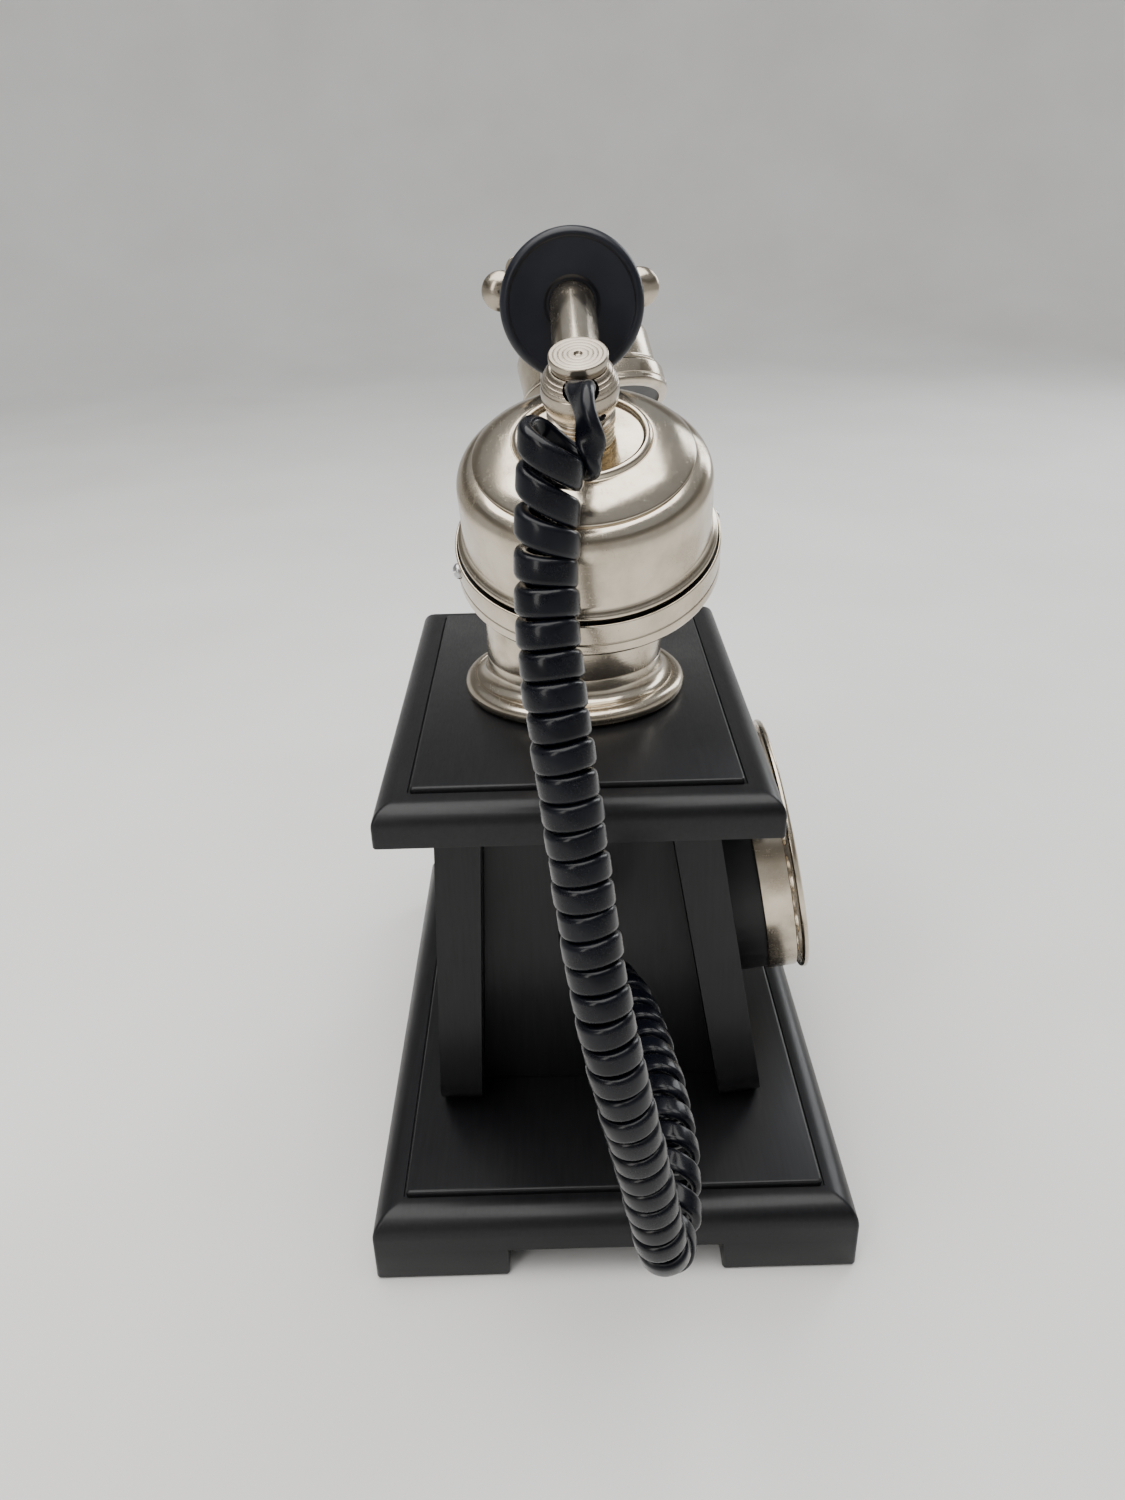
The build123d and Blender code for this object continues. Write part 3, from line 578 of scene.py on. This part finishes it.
middle_step = 0.1
middle = resampled(nurbs_line("coil_route", coil_route), middle_step)
middle_travelled = lengths_along(middle)
middle_way = tangents(middle)
coil_length = middle_travelled[-1]
bend = np.linalg.norm(np.gradient(middle_way, middle_travelled, axis=0), axis=1)
half_window = 30  # steps of the middle line
window = 2 * half_window + 1
bend = np.convolve(np.pad(bend, half_window, mode="edge"), np.ones(window) / window, mode="valid")
pitch = loose_pitch + (tight_pitch - loose_pitch) * eased(middle_travelled, loose_start, loose_end)
pitch += (stretched_pitch - tight_pitch) * eased(middle_travelled, stretched_blend, stretched_start)
pitch = pitch / (1 - np.clip(coil_radius * bend, 0, 0.5))
turning = np.concatenate(([0.0], np.cumsum(np.diff(middle_travelled) / pitch[1:])))
turn_count = int(turning[-1] * turn_steps)
at_turn = np.arange(turn_count + 1) / turn_steps
at_middle = np.interp(at_turn, turning, middle_travelled)


def along_middle(values):
    return np.stack([np.interp(at_middle, middle_travelled, values[:, axis]) for axis in range(3)], 1)


front = carried((-1, 0, 0), middle_way)
left = np.cross(middle_way, front)
if left[0][1] < 0:
    left = -left
# The coil starts at its left side and comes round the front to the right as it goes down.
coil_turn = pi / 2 - tau * at_turn
tail = eased(at_middle, coil_length - tail_length, coil_length)
# Small slow waves keep the turns from being all alike.
wave = 0.12 * np.sin(at_middle * 0.55) + 0.08 * np.sin(at_middle * 1.31)
radius_here = (coil_radius + wave) * (1 - tail)
looseness = 1 - eased(at_middle, loose_start, settled_end)
tilt_here = settled_tilt + (loose_tilt - settled_tilt) * looseness
tilt_here = tilt_here + 0.25 * np.sin(at_middle * 0.37) * eased(at_middle, 20, 50)
tilt_here = tilt_here * (1 - tail)
coil_way = along_middle(middle_way)
coil = (
    along_middle(middle)
    + along_middle(front) * (radius_here * np.cos(coil_turn))[:, None]
    + along_middle(left) * (radius_here * np.sin(coil_turn))[:, None]
    - coil_way * (tilt_here * np.sin(coil_turn))[:, None]
)
coil_axis = coil_way / np.linalg.norm(coil_way, axis=1)[:, None]

elbow_lead_route = [
    (-112.6, 6.3, 238.0),
    (-120.4, 6.3, 239.5),
    (-126.6, 6.1, 240.0),
    (-130.4, 5.7, 237.0),
    (-131.6, 4.9, 233.0),
    (-130.8, 4.4, 229.6),
    (-128.0, 5.8, 228.6),
    (-126.2, 9.6, 231.0),
    (-127.6, 14.2, 235.4),
    tuple(coil[0]),
]
plug_lead_route = [tuple(coil[-1]), (-56.2, 3.6, 79.5), (-53.4, 5.8, 79.5), (-47.5, 6.0, 79.5)]
elbow_lead = resampled(nurbs_line("elbow_lead_route", elbow_lead_route), 0.6)
plug_lead = resampled(nurbs_line("plug_lead_route", plug_lead_route), 0.6)
wire = np.concatenate((elbow_lead[:-1], coil, plug_lead[1:]))
wire_way = tangents(wire)

# The flat of the ribbon turns from level at the ball to square with the coil, and back to level
# at the plug.
level = np.array((0.0, 1.0, 0.0))
twist = eased(lengths_along(elbow_lead), 9, 19)[:-1]
lead_flat = level * (1 - twist)[:, None] + coil_axis[0] * twist[:, None]
plug_flat = np.repeat(coil_axis[-1][None], len(plug_lead) - 1, axis=0)
plug_twist = eased(lengths_along(plug_lead), 0, 7)[1:]
plug_flat = plug_flat * (1 - plug_twist)[:, None] + level * plug_twist[:, None]
flat = np.concatenate((lead_flat, coil_axis, plug_flat))
flat = flat - wire_way * np.sum(flat * wire_way, axis=1)[:, None]
flat /= np.linalg.norm(flat, axis=1)[:, None]
thick = np.cross(wire_way, flat)


def ribbon_mesh(name, line, wide, deep, width, thickness):
    """A flat lead with rounded edges, along a line."""
    section = rounded_rectangle(width / 2, thickness / 2, 0.46 * thickness, steps=4)
    bm = bmesh.new()
    rows = []
    for point, across, out in zip(line, wide, deep):
        rows.append([bm.verts.new(Vector(point + across * x + out * y) * mm) for x, y in section])
    count = len(section)
    for low, high in zip(rows, rows[1:]):
        for i in range(count):
            bm.faces.new((low[i], low[(i + 1) % count], high[(i + 1) % count], high[i]))
    bm.faces.new(rows[0])
    bm.faces.new(rows[-1])
    return mesh_from(bm, name)


cord_mesh = ribbon_mesh("handset_cord_ribbon", wire, flat, thick, ribbon_width, ribbon_thickness)
cord = add_piece("handset_cord_ribbon", cord_mesh, None, "cord_jacket")
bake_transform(cord)
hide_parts("handset_cord", "elbow_lead", "plug_lead")
plug = softened("cord_plug", "clear_plastic", 0.4)

# ---- Stand ----

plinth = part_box("base_plinth")
half_length, half_depth = plinth[1].x / mm, plinth[1].y / mm


edge_corner = 0.9


def moulded_edge(half_x, half_y, round_start, radius, edge_top, inset, top):
    """Rings of a moulded edge: a quarter round, a ledge with a groove in it, and a raised panel."""
    rings = []
    for step in range(13):
        turn = step / 12 * pi / 2
        back = radius * (1 - cos(turn))
        z = round_start + radius * sin(turn)
        rings.append((half_x - back, half_y - back, edge_corner, z))
    groove = inset - 0.7
    for back, z in (
        (groove, edge_top), (groove + 0.15, edge_top - 0.5), (inset, edge_top - 0.5),
        (inset, top - 0.6), (inset + 0.15, top - 0.22), (inset + 0.5, top),
    ):
        rings.append((half_x - back, half_y - back, edge_corner, z))
    return rings


# From the hollow under the plinth, down its inner step, out to the edge and up.
plinth_rings = [
    (60, 40, 0.6, 19.0),
    (60, 40, 0.6, 11.2),
    (68, 48, 0.6, 11.2),
    (68, 48, 0.6, 10.0),
    (half_length, half_depth, 0.9, 10.0),
] + moulded_edge(half_length, half_depth, 14.6, 7.0, 21.6, 8.8, 23.0)
add_piece(
    "plinth_moulded", stacked_mesh("plinth_moulded", plinth_rings, (0, 0)),
    "root", "wood_along_x", ["base_plinth"],
)

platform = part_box("top_platform")
platform_centre = (platform[0] + platform[1]) / 2 / mm
platform_half = (platform[1] - platform[0]) / 2 / mm
platform_rings = [
    (platform_half.x - 0.6, platform_half.y - 0.6, 0.7, 124.0),
    (platform_half.x - 0.15, platform_half.y - 0.15, 0.9, 124.15),
    (platform_half.x, platform_half.y, 0.9, 124.6),
] + moulded_edge(platform_half.x, platform_half.y, 129.5, 5.3, 134.8, 9.0, 136.0)
add_piece(
    "platform_moulded", stacked_mesh("platform_moulded", platform_rings, (0, platform_centre.y)),
    "root", "wood_along_x", ["top_platform"],
)

for board in ("front_board", "back_board"):
    softened(board, "wood_upright", 0.9)
for panel in ("left_side_panel", "right_side_panel"):
    softened(panel, "wood_upright", 0.4)
softened("foot_pads", "felt", 0.3)
softened("bottom_plate", "hardboard", 0.2)
softened("line_jack", "black_plastic", 0.4)
softened("cord_jack", "black_plastic", 0.4)

foot_half = 18.2
foot_rings = [
    (foot_half - 0.9, foot_half - 0.9, 0.4, 0.1),
    (foot_half - 0.3, foot_half - 0.3, 0.7, 0.35),
    (foot_half, foot_half, 0.9, 1.0),
    (foot_half, foot_half, 0.9, 10.0),
]
feet_bm = bmesh.new()
for x in (foot_half - half_length, half_length - foot_half):
    for y in (foot_half - half_depth, half_depth - foot_half):
        foot_mesh = stacked_mesh("foot", foot_rings, (x, y))
        feet_bm.from_mesh(foot_mesh)
        bpy.data.meshes.remove(foot_mesh)
feet = mesh_from(feet_bm, "feet_rounded", sharp=40)
add_piece("feet_rounded", feet, "root", "wood_along_x", ["corner_feet"])

# ---- Pedestal ----

pedestal_y = 6.5
pedestal_place = placed((0, pedestal_y, 0), (0, 0, 1), (1, 0, 0))
column_profile = [(21.8, 166.0), (21.8, 136.0), (30.0, 136.0)]
column_profile += arc((30.0, 136.0), (31.6, 138.3), (29.8, 140.6), 12)
column_profile += [(28.6, 140.75), (28.45, 140.55), (28.0, 140.6), (28.0, 141.0)]
column_profile += arc((28.0, 141.0), (25.7, 142.0), (24.8, 144.4), 8)
column_profile += [(24.8, 147.0), (24.65, 147.15), (24.8, 147.3)]
column_profile += [(24.8, 163.2), (24.6, 163.4), (24.8, 163.6), (24.8, 166.0)]
turned(
    "pedestal_column", column_profile, pedestal_place, "root", "nickel", "turned_nickel",
    closed=True, sides=192,
)

cap_profile = [(4.1, 200.0), (4.1, 174.0), (18.8, 170.0), (18.8, 166.0), (26.0, 166.0)]
cap_profile += arc((26.0, 166.0), (26.9, 167.6), (24.8, 169.2), 10)
cap_profile += [(24.3, 169.3), (24.2, 169.7)]
cap_profile += arc((24.2, 169.7), (19.0, 177.6), (10.0, 182.6), 24)
cap_profile += arc((10.0, 182.6), (8.1, 185.4), (7.6, 190.0), 10)
cap_profile += [(7.6, 193.0), (8.0, 193.3), (7.6, 193.6), (7.6, 197.0), (9.2, 197.8), (9.2, 200.0)]
turned(
    "pedestal_cap", cap_profile, pedestal_place, "root", "nickel", "turned_nickel",
    closed=True, rounding=0.3,
)

# ---- Cradle ----

softened("cradle_rod", "nickel", 0.3)
softened("cradle_bar", "nickel", 0.4)
softened("cradle_hub", "nickel", 0.6)
for fork in ("left_fork", "right_fork"):
    softened(fork, "nickel", 2.6, sharp=35, steps=7)

# ---- Handset ----

handle_height = 244.3  # over the pedestal
handle_shift = 1.6
handle_tilt = radians(2.5)  # the receiver's end is the lower one
handle_turn = Matrix.Rotation(handle_tilt, 3, "Y")
handle_centre = Vector(
    (handle_shift, pedestal_y, handle_height - handle_shift * tan(handle_tilt))
)
handle_place = {
    side: placed(handle_centre, handle_turn @ Vector((side, 0, 0)), handle_turn @ Vector((0, 0, 1)))
    for side in (-1, 1)
}
# Each prong of the forks ends in a dome, on its face away from the grip.
fork_outer = 70.6
fork_tip_y = 13.5
fork_tip_z = 2.0
dome_profile = [(0, -1.2), (3.3, -1.2), (3.75, -0.8)] + arc((3.8, -0.5), (2.75, 1.05), (0, 1.7), 14)
for side, fork in ((-1, "left_fork"), (1, "right_fork")):
    for prong, tip_y in (("front", -fork_tip_y), ("back", fork_tip_y)):
        seat = handle_centre + handle_turn @ Vector((side * fork_outer, tip_y, fork_tip_z))
        dome_place = placed(seat, handle_turn @ Vector((side, 0, 0)), (0, 1, 0))
        dome_name = f"{fork}_{prong}_tip"
        dome = turned_mesh(dome_name, dome_profile, dome_place, rounding=0.1, sides=64)
        add_piece(dome_name, dome, nodes[fork]["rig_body"], "dark_nickel")

softened("handset_tube", "nickel", 0.2)

grip_profile = [(4.15, -58.4), (8.6, -58.4)]
grip_profile += arc((9.0, -58.0), (11.0, 0.0), (9.0, 58.0), 48)
grip_profile += [(8.6, 58.4), (4.15, 58.4)]
turned(
    "hand_grip", grip_profile, handle_place[1], "handset", "satin_plastic", "satin_plastic",
    closed=True,
)

collar_profile = [(4.15, 58.4), (11.4, 58.4)]
collar_profile += arc((11.6, 58.5), (12.6, 60.1), (11.6, 61.7), 8)
collar_profile += [(11.2, 61.8), (7.8, 61.8), (7.8, 82.2), (12.2, 82.2)]
collar_profile += arc((12.35, 82.25), (13.35, 83.9), (12.45, 85.5), 10)
collar_profile += [(12.1, 85.6), (11.75, 85.45), (11.5, 85.1), (8.0, 84.75)]
collar_profile += [(5.2, 84.7), (4.7, 84.2), (4.15, 84.2)]
for side, collar in ((-1, "left_grip_collar"), (1, "right_grip_collar")):
    turned(
        collar, collar_profile, handle_place[side], "handset", "satin_plastic", "satin_plastic",
        closed=True, sides=192,
    )

ball_reach = 112.0  # from the handle's centre
ball_drop = 11.5
cup_tilt = radians(26.5)


def elbow_frame(side, roll):
    """Frame of an elbow: the ball's centre, the way its cup's axis runs up, and outward."""
    turn = handle_turn @ Matrix.Rotation(radians(roll), 3, "X")
    centre = handle_centre + turn @ Vector((side * ball_reach, 0, -ball_drop))
    up = turn @ Vector((side * sin(cup_tilt), 0, cos(cup_tilt)))
    outward = turn @ Vector((side * cos(cup_tilt), 0, -sin(cup_tilt)))
    return centre, up, outward


ball_radius = 6.6
groove_depth = 0.13
groove_half = 1.3  # degrees


def ball_arc(first, last, grooves):
    """The ball's side between two latitudes, with a fine groove at each of the given ones."""
    marks = []
    for latitude in np.linspace(first, last, 25):
        if all(abs(latitude - groove) > 1.6 * groove_half for groove in grooves):
            marks.append((latitude, ball_radius))
    for groove in grooves:
        marks += [
            (groove + groove_half, ball_radius),
            (groove, ball_radius - groove_depth),
            (groove - groove_half, ball_radius),
        ]
    marks.sort(reverse=True)
    return [(r * cos(radians(latitude)), r * sin(radians(latitude))) for latitude, r in marks]


def threads(radius, depth, start, end, pitch):
    """Ridges of a screw thread, from one height down to another."""
    count = round((start - end) / pitch)
    step = (start - end) / count
    points = []
    for ridge in range(count):
        top = start - ridge * step
        points += [(radius - depth, top), (radius, top - 0.35 * step), (radius, top - 0.6 * step)]
    points.append((radius - depth, end))
    return points


disc_profile = [(0, 6.05), (0.45, 6.15), (0.75, 6.6)]
for ring in (1.7, 2.5, 3.3, 4.1):
    disc_profile += [(ring - 0.12, 6.6), (ring, 6.53), (ring + 0.12, 6.6)]
disc_profile += [(4.75, 6.6), (4.95, 6.4), (4.95, 5.5), (4.75, 5.3)]
disc_profile += threads(4.6, 0.3, 5.25, 4.2, 0.35) + [(0, 4.2)]

ball_profile = [(0, 4.3), (4.9, 4.3)]
ball_profile += ball_arc(38, -38, (33, 26, 19, 12, -26, -33))
ball_profile += [(5.25, -4.2), (5.9, -4.5), (5.9, -4.95), (5.55, -5.1), (5.9, -5.25)]
ball_profile += [(5.9, -5.8), (0, -5.8)]

stem_profile = [(0, -5.8), (5.1, -5.8)] + threads(5.7, 0.45, -5.9, -9.5, 0.9)
stem_profile += [(4.0, -9.5), (4.0, -13.5), (0, -13.5)]

cup_profile = [(4.0, -9.55), (10.5, -9.55)]
cup_profile += arc((10.5, -9.5), (11.3, -8.6), (12.1, -9.35), 10)
cup_profile += [(12.25, -9.6), (12.5, -9.55)]
cup_profile += arc((12.5, -9.5), (16.2, -10.5), (19.45, -12.55), 16)
cup_profile += [(19.65, -12.75), (19.6, -13.15), (19.3, -13.35)]
cup_profile += arc((19.6, -13.45), (22.1, -15.4), (22.9, -18.6), 14)
cup_profile += [(23.0, -23.0), (23.05, -27.8)]
cup_profile += arc((23.05, -27.8), (23.25, -28.7), (23.7, -29.15), 6)
cup_profile += arc((23.75, -29.2), (24.2, -29.8), (23.75, -30.4), 8)
cup_profile += [(23.2, -30.6), (23.2, -36.0), (22.3, -36.0), (22.2, -19.0)]
cup_profile += [(18.6, -14.4), (11.4, -10.9), (4.0, -10.9)]

# Painted shade: a black ring at the floor of the gap between the cup's bead and its band, so that the gap
# looks dark.
gap_shade_profile = [(23.25, -31.9), (24.25, -31.9), (24.25, -35.8), (23.25, -35.8)]

band_profile = [(24.3, -36.0), (24.3, -31.1)]
band_profile += arc((24.35, -30.95), (24.62, -30.8), (24.85, -31.1), 6)
band_profile += [(24.85, -35.2), (24.6, -35.5), (24.85, -35.8), (24.85, -36.8)]
band_profile += arc((24.85, -36.8), (24.4, -38.4), (23.2, -38.9), 10)
band_profile += [(21.6, -38.9), (21.6, -38.1), (23.0, -38.1), (23.0, -36.0)]

screw_profile = [(0, -0.2), (1.5, -0.2), (1.5, 0.15)] + arc((1.45, 0.3), (1.05, 0.75), (0, 1.0), 8)
screw_head = 1.0
slot_depth = 0.45
slot_width = 0.42


def slotted_screw(name, place):
    """A round-headed screw with a cut slot."""
    head = turned_mesh(name, screw_profile, place, rounding=0.1, sides=48)
    head.materials.append(finishes["steel"])
    piece = bpy.data.objects.new(name, head)
    bpy.context.scene.collection.objects.link(piece)
    slot_rings = [
        (3, slot_width / 2, 0.05, z) for z in (screw_head - slot_depth, screw_head + 1.0)
    ]
    slot_mesh = stacked_mesh("slot", slot_rings, (0, 0))
    slot_mesh.transform(place)
    cut(piece, [slot_mesh])
    return piece


def joined(name, pieces):
    """Several pieces as one mesh."""
    bm = bmesh.new()
    for piece in pieces:
        bm.from_mesh(piece.data)
        bpy.data.objects.remove(piece)
    mesh = bpy.data.meshes.new(name)
    bm.to_mesh(mesh)
    bm.free()
    mesh.set_sharp_from_angle(angle=radians(50))
    return mesh


ends = {"transmitter": (-1, -2.5), "receiver": (1, -14.0)}  # side, and roll about the handle
band_screw_height = -33.4
band_screw_radius = 24.95
band_screw_turns = (102, 282)
grub_lean = (0.80, -0.40, -0.46)  # outward, up and across
grub_depth = 1.6
lead_mouth_height = 238.4
hole_profile = [(0, -grub_depth), (1.1, -grub_depth), (1.1, -0.3), (1.5, 0.4), (1.5, 1.2), (0, 1.2)]
mouth_rings = [
    (1.75, 2.9, 1.7, 2.0), (1.75, 2.9, 1.7, 5.6), (2.5, 3.6, 2.4, 7.2), (2.5, 3.6, 2.4, 9.0),
]
for end, (side, roll) in ends.items():
    centre, up, outward = elbow_frame(side, roll)
    place = placed(centre, up, outward)
    turned(f"{end}_elbow_cap", disc_profile, place, "handset", "nickel", "brushed_disc", rounding=0.06)
    ball = turned(
        f"{end}_elbow", ball_profile, place, "handset", "nickel", "dark_nickel",
        rounding=0.06, sides=192,
    )
    turned(f"{end}_stem", stem_profile, place, "handset", "brass", "brass", rounding=0.06)
    turned(
        f"{end}_cup", cup_profile, place, "handset", "nickel", "turned_nickel",
        closed=True, sides=256, rounding=0.12,
    )
    turned(
        f"{end}_band", band_profile, place, "handset", "nickel", "turned_nickel",
        closed=True, sides=256, rounding=0.08,
    )
    # The black ring in the gap between cup and band is painted shade, not a part of the handset.
    gap_shade_mesh = turned_mesh(f"{end}_gap_shade", gap_shade_profile, place, closed=True, sides=192)
    add_piece(f"{end}_gap_shade", gap_shade_mesh, "handset", "black_plastic")
    softened(f"{end}_cover", "black_plastic", 0.25)
    screws = []
    for number, turn in enumerate(band_screw_turns):
        direction = Matrix.Rotation(radians(turn), 3, up) @ outward
        seat = centre + up * band_screw_height + direction * band_screw_radius
        screw_place = placed(seat, direction, up + outward * number)
        screws.append(slotted_screw(f"{end}_screw_{number}", screw_place))
    add_piece(
        f"{end}_band_screws_slotted", joined(f"{end}_band_screws_slotted", screws),
        "handset", "steel", [f"{end}_band_screws"],
    )
    # A grub screw sits low on the ball. On the corded side the lead's hole is above it.
    lean_out, lean_up, lean_across = grub_lean
    grub_way = outward * lean_out + up * lean_up + up.cross(outward) * side * lean_across
    grub_way = grub_way.normalized()
    grub_seat = centre + grub_way * ball_radius
    holes = [turned_mesh("hole", hole_profile, placed(grub_seat, grub_way, up), rounding=0.02, sides=40)]
    if side < 0:
        mouth = placed((centre.x, centre.y, lead_mouth_height), (-1, 0, 0), (0, 0, 1))
        mouth_mesh = stacked_mesh("mouth", mouth_rings, (0, 0))
        mouth_mesh.transform(mouth)
        holes.append(mouth_mesh)
    # The walls of the grub hole and of the lead's mouth take the black plastic finish: painted shade
    # inside the holes.
    cut(ball, holes, "black_plastic")
    grub_place = placed(grub_seat - grub_way * grub_depth, grub_way, up)
    grub = slotted_screw(f"{end}_grub_screw", grub_place)
    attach(grub, "handset")

# ---- Dial ----

softened("dial_cup", "black_plastic", 0.5)
softened("dial_bezel", "nickel", 0.3)
softened("number_plate", "enamel", 0.15)
softened("finger_wheel", "nickel", 0.45)
softened("wheel_cap", "nickel", 0.3)
softened("finger_stop", "nickel", 0.35)

front_slant = radians(9.7)
dial_way = Vector((0, -cos(front_slant), sin(front_slant)))
dial_up = Vector((0, sin(front_slant), cos(front_slant)))
dial_height = 76.5
board_top = 124.0
board_front = -28.1  # at its top
dial_centre = Vector((0, board_front - (board_top - dial_height) * tan(front_slant), dial_height))
digit_height = 7.2
digit_relief = 0.03
digit_weight = 0.08
digit_ring = 29.0
first_digit = 55.0  # degrees
digit_spacing = 28.0
plate_front = 16.4
for number in range(10):
    turn = radians(first_digit + digit_spacing * number)
    curve = bpy.data.curves.new(f"digit_{number}", "FONT")
    curve.body = str((number + 1) % 10)
    curve.size = digit_height * mm
    curve.align_x = "CENTER"
    curve.align_y = "CENTER"
    curve.extrude = digit_relief * mm
    curve.offset = digit_weight * mm
    holder = bpy.data.objects.new(curve.name, curve)
    digit_mesh = bpy.data.meshes.new_from_object(holder)
    bpy.data.objects.remove(holder)
    across, along = Vector((1, 0, 0)) * digit_ring * cos(turn), dial_up * digit_ring * sin(turn)
    seat = dial_centre + across + along + dial_way * plate_front
    digit_mesh.transform(placed(seat, dial_way, (1, 0, 0)))
    add_piece(f"dial_digit_{(number + 1) % 10}", digit_mesh, "root", "ink")

# ---- Parts inside, whose CAD shape is right ----

inside = {
    "bottom_screws": "steel",
    "circuit_board": "circuit",
    "dial_mechanism": "steel",
    "dial_spindle": "steel",
    "hook_spring": "steel",
    "hook_switch": "black_plastic",
    "ringer_clapper": "steel",
    "ringer_coils": "copper",
    "ringer_frame": "steel",
    "ringer_gongs": "brass",
    "receiver_capsule": "black_plastic",
    "transmitter_capsule": "black_plastic",
}
for node, finish in inside.items():
    mesh = nodes[node].data
    mesh.materials.clear()
    mesh.materials.append(finishes[finish])

# ---- Floor and light ----

floor_radius = 1500.0
wall_curve = 700.0
wall_top = 1500.0
dark_start, dark_end = 0.56, 0.95  # heights on the wall, in metres
floor_profile = [(0, 0), (300, 0), (700, 0), (1100, 0)]
floor_profile += arc(
    (floor_radius, 0),
    (floor_radius + wall_curve * sin(pi / 4), wall_curve * (1 - cos(pi / 4))),
    (floor_radius + wall_curve, wall_curve), 16,
)
floor_profile.append((floor_radius + wall_curve, wall_top))
floor_mesh = turned_mesh("floor", floor_profile, Matrix.Identity(4), rounding=0.0, sides=96)
paper = Finish("pale_paper", Roughness=0.85)
paper_tone = paper.noise(180, detail=3)
paper.bump((paper.noise(0.6, detail=4), 0.01))
height = paper.add("ShaderNodeSeparateXYZ")
paper.join(paper.place.outputs["Object"], height.inputs["Vector"])
# The wall darkens above what the camera sees, to give the metal something dark to reflect.
darkness = paper.sum(
    paper.between(height.outputs["Z"], 0.0, 1.0, dark_start, dark_end),
    paper.between(paper_tone, 0.0, 0.12),
)
paper.colour(darkness, (0.80, 0.795, 0.785), (0.30, 0.285, 0.262), 0.0, 1.0)
floor_mesh.materials.append(paper.material)
floor = bpy.data.objects.new("floor", floor_mesh)
bpy.context.scene.collection.objects.link(floor)

world = bpy.data.worlds.new("studio")
world.use_nodes = True
world.node_tree.nodes["Background"].inputs["Color"].default_value = (0.93, 0.96, 1.0, 1)
world.node_tree.nodes["Background"].inputs["Strength"].default_value = 0.40
bpy.context.scene.world = world


def soft_light(name, place, target, size, power, tint):
    """A large rectangular light that faces a point. Places and sizes are in metres."""
    light = bpy.data.lights.new(name, "AREA")
    light.shape = "RECTANGLE"
    light.size, light.size_y = size
    light.energy = power
    light.color = tint
    lamp = bpy.data.objects.new(name, light)
    lamp.location = place
    lamp.rotation_euler = (Vector(target) - Vector(place)).to_track_quat("-Z", "Y").to_euler()
    bpy.context.scene.collection.objects.link(lamp)


soft_light("overhead", (-0.1, 0.1, 1.25), (0, 0, 0.1), (1.3, 1.3), 27, (1.0, 0.985, 0.96))
soft_light("camera_side", (-1.0, 0.7, 0.8), (0, 0, 0.15), (0.35, 0.9), 5, (1.0, 0.97, 0.93))
soft_light("far_side", (0.9, -0.9, 0.7), (0, 0, 0.15), (0.4, 0.8), 6, (0.95, 0.98, 1.0))
